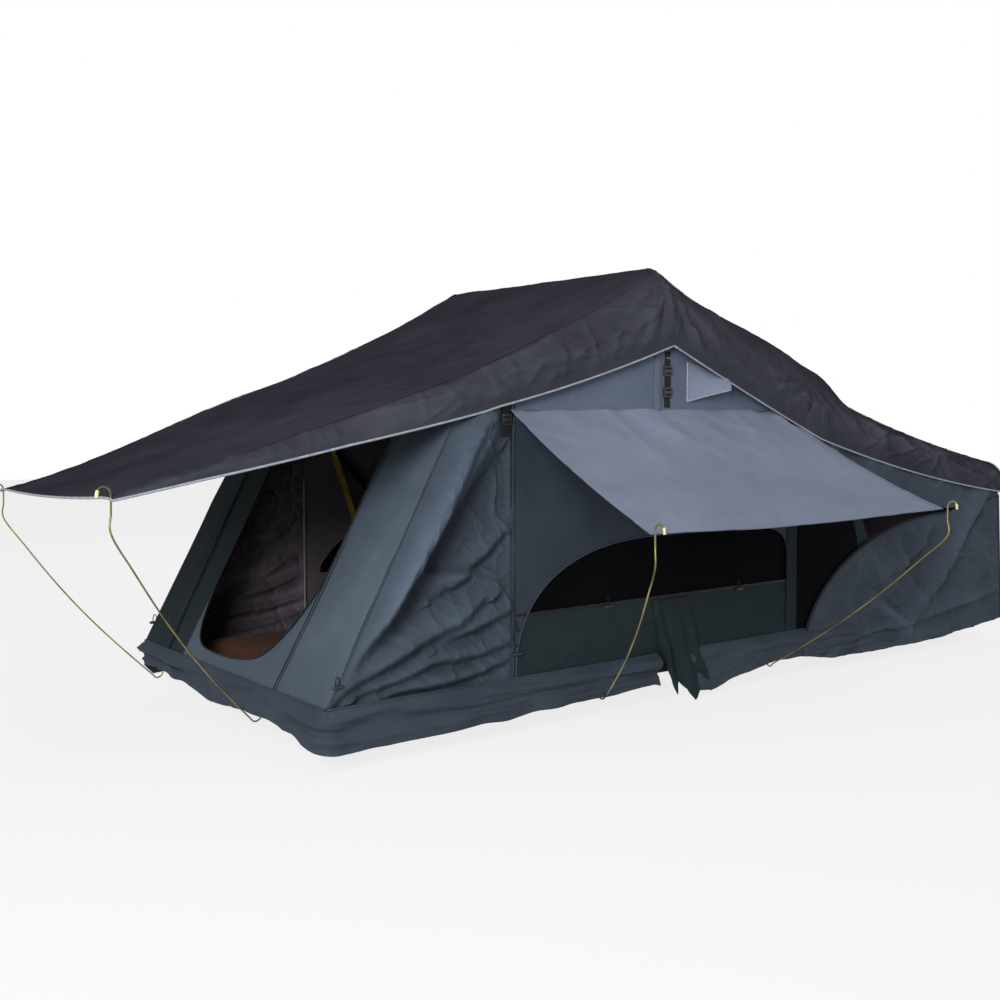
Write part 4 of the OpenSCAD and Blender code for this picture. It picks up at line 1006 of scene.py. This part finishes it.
def vestibule_end(u, v):
    y = lerp(-VEST_Y, VEST_Y, u)
    rise = VEST_CORNER + 0.122 * smooth(VEST_Y, VEST_Y - 0.135, abs(y))
    return Vector((lerp(VEST_END, VEST_END - VEST_LEAN * rise / VEST_CORNER, v), y, lerp(VEST_LOW, rise, v)))


VEST_LINES = (
    (0.015, 0.05, ((1.81, 0.502), (1.643, 0.342), (1.483, 0.195), (1.317, 0.043))),
    (0.012, 0.03, ((1.605, 0.261), (1.519, 0.185), (1.411, 0.107))),
    (0.011, 0.03, ((1.45, 0.43), (1.36, 0.33), (1.26, 0.27), (1.12, 0.22))),
    (0.010, 0.028, ((1.2, 0.36), (1.27, 0.24), (1.38, 0.13))),
    (0.014, 0.035, ((1.083, 0.178), (1.182, 0.116), (1.294, 0.039))),
    (0.010, 0.025, ((1.889, 0.103), (1.58, 0.07), (1.317, 0.036))),
    (0.008, 0.02, ((1.272, 0.041), (1.029, 0.029), (0.773, 0.027))),
)


def vestibule_folds(p):
    out = 0.008 * folds(p.x * 4 + p.z * 2.5, p.z * 5 - p.x * 2, 141, 3)
    out += 0.008 * sharp(p.x * 5 + p.y + p.z * 3, p.z * 7, 142)
    out += 0.005 * sharp(p.x * 11 - p.z * 5, p.z * 12 + p.y, 144)
    if abs(p.y) < VEST_Y - 1e-4:
        out += 0.01 * folds(p.y * 4.5 + p.z * 0.8, p.z * 0.9, 143, 2)
        return out * smooth(VEST_Y - 0.004, VEST_Y - 0.09, abs(p.y))
    out += 1.7 * sum(deep * line_fold(p, line, wide) for deep, wide, line in VEST_LINES)
    sewn = VEST_LOW + CURVE_RISE * math.sqrt(max(0.0, 1 - max(0.0, (CURVE_TOP_X - p.x) / CURVE_RUN) ** 2))
    out *= smooth(0.0, 0.06, end_x(p.z) - p.x)
    return out * smooth(0.0, 0.06, abs(sewn - p.z)) if p.x < 1.55 else out


def vestibule_upper(u, v):
    x = lerp(0.735, VEST_END - VEST_LEAN, u)
    low = lerp(0.61, 0.47, smooth(0.1, 0.7, u))
    high = fly_top(x) - fly_drop(x) + 0.012
    return Vector((x, -VEST_Y, lerp(low, max(high, low + 0.004), v)))


VEST = (("fold", None, HALF_L), ("vestibule", HALF_L, None))
upper = grid(100, 16, (1.12, 0.14), vestibule_upper, depth=vestibule_folds)
both_sides(upper, "vestibule_upper", VEST, CANVAS)
panel = grid(200, 100, (1.3, 0.5), vestibule_side, depth=vestibule_folds)
both_sides(panel.copy(), "vestibule_panel", VEST[:1], CANVAS)
both_sides(panel, "vestibule_panel", VEST[1:], CANVAS, node="vestibule_walls")
# The binding along the curved edge gets the darkest canvas as painted shade.
binding = grid(100, 2, (1.35, 0.008), lambda u, v: vestibule_side(u, 0.0) + Vector((0.006 * v, -0.003, -0.006 * v)))
both_sides(binding, "vestibule_binding", VEST, CANVAS_SHADE)
REARWARD = (1, 0, 0)
end = grid(100, 50, (1.21, 0.6), vestibule_end, REARWARD, vestibule_folds)
sheet(end, "vestibule_end", "vestibule", CANVAS, nodes=("vestibule_walls",))


def on_end(y, z, lift):
    """A point just outside the vestibule's end."""
    p = Vector((end_x(z), y, z))
    return p + Vector((vestibule_folds(p) + lift, 0, 0))


END_DOOR = ((-0.36, 0.03), (-0.362, 0.2), (-0.36, 0.4), (-0.335, 0.475), (-0.26, 0.51), (0.0, 0.518), (0.26, 0.51),
            (0.335, 0.475), (0.36, 0.4), (0.362, 0.2), (0.36, 0.03))
door_zip = rounded([Vector(q) for q in END_DOOR], 14)
tape = grid(2, len(door_zip) - 1, (0.024, 1.75), lambda u, v: on_end(
    *(Vector((0, 0.25)).lerp(at_share(door_zip, v), 1 + 0.05 * (u - 0.5))), 0.003), REARWARD)
sheet(tape, "vestibule_zip_tape", "vestibule", ZIP, ZIP, slot="zip_tape")
tube("vestibule_zip_coil", "vestibule", [on_end(*q, 0.0045) for q in door_zip], 0.0026, ZIP, "zip_tape")
# The vestibule's corner bindings and its end's hem get the darker window panel canvas as painted shade.
for side, word in SIDES:
    corner = [Vector((end_x(z), side * VEST_Y, z)) for z in even(VEST_LOW, VEST_CORNER, 40)]
    tube(f"vestibule_corner_{word}", "vestibule", corner, 0.004, CANVAS_PANEL_SHADE, "body_cloth")
low_hem = grid(100, 4, (1.2, 0.03), lambda u, v: on_end(
    lerp(-VEST_Y + 0.004, VEST_Y - 0.004, u), VEST_LOW + 0.03 * v, 0.002), REARWARD)
sheet(low_hem, "vestibule_end_hem", "vestibule", CANVAS_PANEL_SHADE)
print("vestibule from x", curve_top(0)[0], "to", VEST_END)

# %% [markdown]
# ## Rods
# Six spring-steel rods hold the awnings out and two more hold the vestibule. Each goes up into a hole under the base
# frame, turns out round the skirt and bows up to its corner, where it is bent to a hook with a pale cap.

# %% Rods
def rod_path(foot, out, tip):
    f, o, up = Vector((*foot, 0)), Vector((*out, 0)), Vector((0, 0, 1))
    a, b = f + o * 0.0216 - up * 0.002, tip - up * 0.08
    points = [f - o * 0.0144 + up * 0.028, f - o * 0.0144 - up * 0.004, f - o * 0.004 - up * 0.015,
              f + o * 0.0086 - up * 0.015, a]
    points += [a.lerp(b, t) + (o - up) * 0.0154 * math.sin(math.pi * t) for t in (0.15, 0.325, 0.5, 0.675, 0.85)]
    points += [b, b.lerp(tip, 0.62), tip + up * 0.012, tip + o * 0.0072 + up * 0.024, tip + o * 0.018 + up * 0.027,
               tip + o * 0.0282 + up * 0.0198, tip + o * 0.0312 + up * 0.0042]
    return rounded(points)


def flipped(v):
    return Vector((v[0], -v[1], v[2])) if len(v) == 3 else (v[0], -v[1])


SIDE_TIP = 1.1576
ROD_R, CAP_R, CAP_POINTS = 0.0023, 0.004, 9
for name, body, node, foot, far_foot, out, tip in (
    ("rod_side_base", "{side}_awning_base", "rod_{side}_base", (-0.26, -0.59), None, (0, -1),
     Vector((AWN_L, -SIDE_TIP, AWN_Z))),
    ("rod_side_fold", "{side}_awning_fold", "rod_{side}_fold", (0.505, -0.59), None, (0, -1),
     Vector((AWN_R, -SIDE_TIP, AWN_Z))),
    ("rod_entrance", "entrance_awning", "rods_entrance", (-1.19, -0.2), (-1.19, 0.5), (-1, 0),
     Vector((-1.724, -0.596, 0.644))),
    ("rod_vestibule", "vestibule", "rods_vestibule", (1.19, -0.48), None, (1, 0), Vector((1.838, -0.5889, 0.51))),
):
    for side, word in SIDES:
        at, way, end_at = (flipped(v) for v in (foot, out, tip)) if side > 0 else (foot, out, tip)
        if far_foot and side > 0:
            at, end_at = far_foot, fly_spot(AWNING_END[0], 0.95) + Vector((0.006, 0, -0.008))
        line = rod_path(at, way, end_at)
        rides = body.format(side=word)
        tube(f"{name}_{word}", rides, line, ROD_R, ROD, "rod_steel", (node.format(side=word),))
        tube(f"{name}_cap_{word}", rides, line[-CAP_POINTS:], CAP_R, ROD_TIP, "rod_steel")
print("rods made")

# %% [markdown]
# ## Straps, vents and small trim
# Webbing straps with ladder-lock buckles tie the body to the bows. A stiffened hood with a piped lip shades a mesh
# vent in each gable. Short barrel toggles on cord loops keep the window's flap rolled.

# %% Straps
WEB_W, WEB_T = 0.025, 0.0016


def strap(path, along, name, body, finish_used, node, slot, look):
    """A flat band of webbing along a path; along is the direction of its width."""
    steps = len(path) - 1
    length = sum((path[i + 1] - path[i]).length for i in range(steps))

    def spot(u, v):
        i = min(steps - 1, int(v * steps))
        return path[i].lerp(path[i + 1], v * steps - i) + Vector(along) * WEB_W * (u - 0.5)

    sheet(grid(4, steps, (WEB_W, length), spot, look), name, body, finish_used, finish_used, nodes=(node,), slot=slot,
          thick=WEB_T, packs=False)


STRAP_Y = WALL_Y + 0.0042
for side, word in SIDES:
    look, y = (0, side, 0), side * STRAP_Y
    bend = [Vector((0, y + side * 0.0025 * math.sin(math.pi * t) ** 2, lerp(1.02, 0.85, t))) for t in even(0, 1, 24)]
    strap(bend, (1, 0, 0), f"strap_ridge_{word}", "ridge_bow", WEBBING, "straps_ridge", "webbing", look)
    bend = [Vector((STRAP_X, y + side * 0.002 * math.sin(math.pi * t), lerp(STRAP_TOP, STRAP_LOW, t)))
            for t in even(0, 1, 16)]
    strap(bend, (1, 0, 0), f"strap_front_{word}", "front_bow", WEBBING, "straps_front", "webbing", look)
# The mustard strap runs down the front bow's far corner, and its tail hangs inside.
c, s = math.cos(SIDE_ANGLE), math.sin(SIDE_ANGLE)
a, b = (Vector((r * c, y, AXIS_Z + r * s)) for r, y in ((1.0253, 0.2372), (0.746, 0.5495)))
band_line = rounded([a, a.lerp(b, 0.5), b, Vector((-0.47, 0.545, 0.58)), Vector((-0.432, 0.535, 0.453))])
strap(band_line, (-s, 0, c), "corner_strap_far", "front_bow", MUSTARD, "corner_strap", "mustard_webbing", (0, -1, -1))

# %% Vents
def hood(u, v):
    """A stiff flap, sewn to the wall on its left and upper edges, that stands off at its lower right corner."""
    top = Vector((lerp(0.088, 0.255, u), -WALL_Y - 0.004, lerp(0.99, 0.955, u)))
    low = Vector((lerp(0.088, 0.216, u), -WALL_Y - 0.004 - 0.066 * u ** 1.3, lerp(0.868, 0.905, u)))
    return top.lerp(low, v) + Vector((0, -0.012 * math.sin(math.pi * v) * u, 0))


both_sides(grid(40, 24, (0.17, 0.11), hood), "vent_hood", FOLD_ONLY, AWNING, node="vents")
screen = grid(24, 10, (0.1, 0.06), lambda u, v: Vector((
    lerp(0.105, 0.2, u), -WALL_Y - 0.0062, lerp(0.885, 0.94, v))))
both_sides(screen, "vent_screen", FOLD_ONLY, MESH, MESH, slot="mesh")


def stitched(name, body, path, radius, material=CANVAS, slot="body_cloth"):
    """A round seam or lip on both sides, from the near one's path."""
    for side, word in SIDES:
        tube(f"{name}_{word}", body, [Vector((q.x, -side * q.y, q.z)) for q in path], radius, material, slot)


lip = [hood(0, i / 30) for i in range(30)] + [hood(u, 1) for u in even(0, 1, 40)]
stitched("vent_lip", "fold", lip, 0.0026, PIPING, "piping")

# %% Seams of the body
TAPE = cloth_finish("pale zip tape", "#7d7f86", "#b5b6ba", 0.6, cloud=400, crease=0.0)
EDGE_R, STITCH_R, SKIRT_R, ARCH_R, TAPE_R = 0.0022, 0.0013, 0.003, 0.0024, 0.003
SKIRT_SEAM_Y = -SKIRT_OUT - 0.004

stitched("seam_door_edge", "base", [Vector((end_slope(z) - 0.001, -WALL_Y - 0.0015, z)) for z in even(0.06, 0.9, 60)],
         EDGE_R)
for word, shift in (("left", -0.007), ("right", 0.007)):
    stitched(f"seam_window_{word}", "base", [Vector((SEAM_X + shift, -WALL_Y - 0.0035, z))
                                             for z in even(0.08, wall_top(SEAM_X), 60)], STITCH_R, ZIP)
for half, start, way in (("base", SKIRT_IN, -1), ("fold", SKIRT_FOLD_IN, 1)):
    edge = [Vector((way * x, SKIRT_SEAM_Y, SKIRT_TOP)) for x in even(start, HALF_L, 80)]
    stitched(f"seam_skirt_{half}", half, edge, SKIRT_R)
tube("seam_skirt_end", "base", [Vector((-END_OUT - 0.003, y, SKIRT_TOP)) for y in even(-0.59, 0.59, 60)],
     SKIRT_R, CANVAS, "body_cloth")
arch_line = [Vector((q.x, -WALL_Y - 0.004, q.z)) for q in [arch_point(math.pi * (1 - i / 160)) for i in range(161)]]
stitched("seam_arch_base", "base", [q for q in arch_line if q.x <= 0.0], ARCH_R)
stitched("seam_arch_fold", "fold", [q for q in arch_line if q.x > 0.0], ARCH_R)
stitched("seam_inner_zip", "base", [Vector((SEAM_X - 0.01, -WALL_Y + 0.006, z)) for z in even(0.12, 0.6, 60)],
         TAPE_R, TAPE)
sleeve = grid(6, 40, (0.034, 0.18), lambda u, v: Vector((
    lerp(-0.056, -0.022, u), -WALL_Y - 0.005 - 0.004 * math.sin(math.pi * u), lerp(SEAM_Z, 1.03, v))))
both_sides(sleeve, "strap_sleeve", BASE_ONLY, CANVAS_GABLE)
print("seams made")

# %% Toggles
CORD_R = 0.0014
BARREL = ((0.0, -0.0165), (0.003, -0.016), (0.0046, -0.012), (0.005, -0.005), (0.0038, -0.001), (0.0038, 0.001),
          (0.005, 0.005), (0.0046, 0.012), (0.003, 0.016), (0.0, 0.0165))
for x, z, body, nodes in ((-0.24, 0.261, "base", ("toggles_base",)), (0.34, 0.261, "fold", ("toggles_fold",)),
                          (end_slope(0.146), 0.146, "base", ()), (SEAM_X + 0.012, 0.16, "base", ())):
    for side, word in SIDES:
        at = Vector((x, side * (WALL_Y + 0.0075), z))
        label = f"{body}_{word}" if nodes else f"{'door' if x < SEAM_X else 'seam'}_{word}"
        bm = bmesh.new()
        line = [bm.verts.new(at + Vector((along, r, 0))) for r, along in BARREL]
        edges = [bm.edges.new(pair) for pair in zip(line, line[1:])]
        bmesh.ops.spin(bm, geom=line + edges, cent=at, axis=(1, 0, 0), angle=2 * math.pi, steps=20)
        bmesh.ops.remove_doubles(bm, verts=bm.verts, dist=1e-6)
        bmesh.ops.recalc_face_normals(bm, faces=bm.faces)
        pack_flat(place(bm, f"toggle_{label}", body, (NYLON,), nodes, "black_plastic"))
        loop = [at + Vector((0.006 * math.sin(a), -side * 0.004, 0.012 - 0.03 * (1 - math.cos(a)) / 2 + 0.014))
                for a in even(0, 2 * math.pi, 24)]
        tube(f"toggle_loop_{label}", body, loop, CORD_R, WEBBING, "webbing")
print("straps, vents and toggles made")

# %% [markdown]
# ## Mattresses
# Each half of the foam mattress has a sewn cover. The CAD block is copied, merged and remeshed, then blown up by the
# cloth solver with a little pressure, no further than a few millimetres, so that it is crowned between its edges.

# %% Mattresses
SWELL, VOXEL, PRESSURE, FRAMES = 0.007, 0.012, 4, 20


def as_it_is(piece):
    """A mesh of an object with its modifiers at this frame; the modifiers then come off."""
    mesh = bpy.data.meshes.new_from_object(piece.evaluated_get(bpy.context.evaluated_depsgraph_get()))
    piece.modifiers.clear()
    return mesh


for half in ("base", "fold"):
    source = frame["nodes"][f"mattress_{half}"]
    mesh = source.data.copy()
    bm = bmesh.new()
    bm.from_mesh(mesh)
    bmesh.ops.remove_doubles(bm, verts=bm.verts, dist=1e-5)
    low, high = (Vector(c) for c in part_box(f"mattress_{half}"))
    mid = (low + high) / 2
    shrink = [1 - 2 * SWELL / (high[i] - low[i]) for i in range(3)]
    bmesh.ops.translate(bm, verts=bm.verts, vec=-mid)
    bmesh.ops.scale(bm, verts=bm.verts, vec=shrink)
    bmesh.ops.translate(bm, verts=bm.verts, vec=mid)
    bm.to_mesh(mesh)
    bm.free()
    pad = linked(f"mattress_cover_{half}", mesh)
    remesh = pad.modifiers.new("remesh", "REMESH")
    remesh.mode, remesh.voxel_size = "VOXEL", VOXEL
    bpy.context.view_layer.update()
    pad.data = as_it_is(pad)
    start = [v.co.copy() for v in pad.data.vertices]
    cloth = pad.modifiers.new("cover", "CLOTH")
    cloth.settings.use_pressure = True
    cloth.settings.uniform_pressure_force = PRESSURE
    cloth.settings.effector_weights.gravity = 0
    for step in range(1, FRAMES + 1):
        bpy.context.scene.frame_set(step)
    blown = as_it_is(pad)
    for vert, was, now in zip(pad.data.vertices, start, blown.vertices):
        step = now.co - was
        vert.co = was + step * min(1, SWELL / max(step.length, 1e-9))
    bpy.context.scene.frame_set(1)
    pad.data.materials.clear()
    pad.data.materials.append(MATTRESS)
    for polygon in pad.data.polygons:
        polygon.use_smooth = True
    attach(pad, half)
    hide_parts(f"mattress_{half}")
    print("mattress", half, len(pad.data.vertices), "points")

# %% [markdown]
# ## Floor and light
# A pale floor just under the lowest hem, a white surround for the camera, and soft lamps from the upper left and
# front at a plain level.

# %% Floor and light
FLOOR_Z, FLOOR_HALF = -0.078, 14


def seen_straight(tree):
    """1 for what the camera sees straight on, in a reflection or through something, and 0 for light that bounces."""
    rays = add(tree, "LightPath")
    seen = add(tree, "Math", {0: rays.outputs["Is Camera Ray"], 1: rays.outputs["Is Glossy Ray"]},
               operation="MAXIMUM")
    return add(tree, "Math", {0: seen.outputs["Value"], 1: rays.outputs["Is Transmission Ray"]},
               operation="MAXIMUM").outputs["Value"]


bm = bmesh.new()
bmesh.ops.create_grid(bm, x_segments=8, y_segments=8, size=FLOOR_HALF)
bmesh.ops.translate(bm, verts=bm.verts, vec=(0, 0, FLOOR_Z))
floor = linked("floor", mesh_of(bm, "floor"))
paint, tree, shader = finish("floor", "#d2d2d2", 0.9)
share = add(tree, "Math", {0: seen_straight(tree)}, operation="MULTIPLY")
share.inputs[1].default_value = 0.8
glow = add(tree, "Emission", Strength=1.0)
both = add(tree, "MixShader", {0: share.outputs["Value"], 1: shader.outputs["BSDF"], 2: glow.outputs["Emission"]})
tree.links.new(both.outputs["Shader"], tree.nodes["Material Output"].inputs["Surface"])
floor.data.materials.append(paint)

world = bpy.data.worlds.new("studio")
bpy.context.scene.world = world
world.use_nodes = True
tree = world.node_tree
tree.nodes.clear()
room, white = (add(tree, "Background", Color=(1, 1, 1, 1), Strength=strength) for strength in (0.24, 1.0))
both = add(tree, "MixShader", {0: seen_straight(tree), 1: room.outputs["Background"], 2: white.outputs["Background"]})
add(tree, "OutputWorld", {"Surface": both.outputs["Shader"]})

for name, at, target, size, power in (
    ("key", (-4.6, -3.5, 2.1), (0, 0, 0.5), 2.0, 285),
    ("top", (-0.5, -3.2, 4.4), (0, 0, 0.5), 3.0, 35),
    ("fill", (3.2, -4.5, 1.5), (0.6, 0, 0.5), 3.0, 40),
    ("back", (3.6, 3.6, 2.2), (0.4, 0, 0.5), 3.0, 90),
):
    lamp = linked(name, bpy.data.lights.new(name, "AREA"))
    lamp.data.size, lamp.data.energy = size, power
    lamp.location = Vector(at) + Vector((HINGE_X, 0, 0))
    lamp.rotation_euler = (Vector(target) - Vector(at)).to_track_quat("-Z", "Y").to_euler()
bpy.context.scene.view_settings.view_transform = "Standard"
print("floor at", FLOOR_Z)
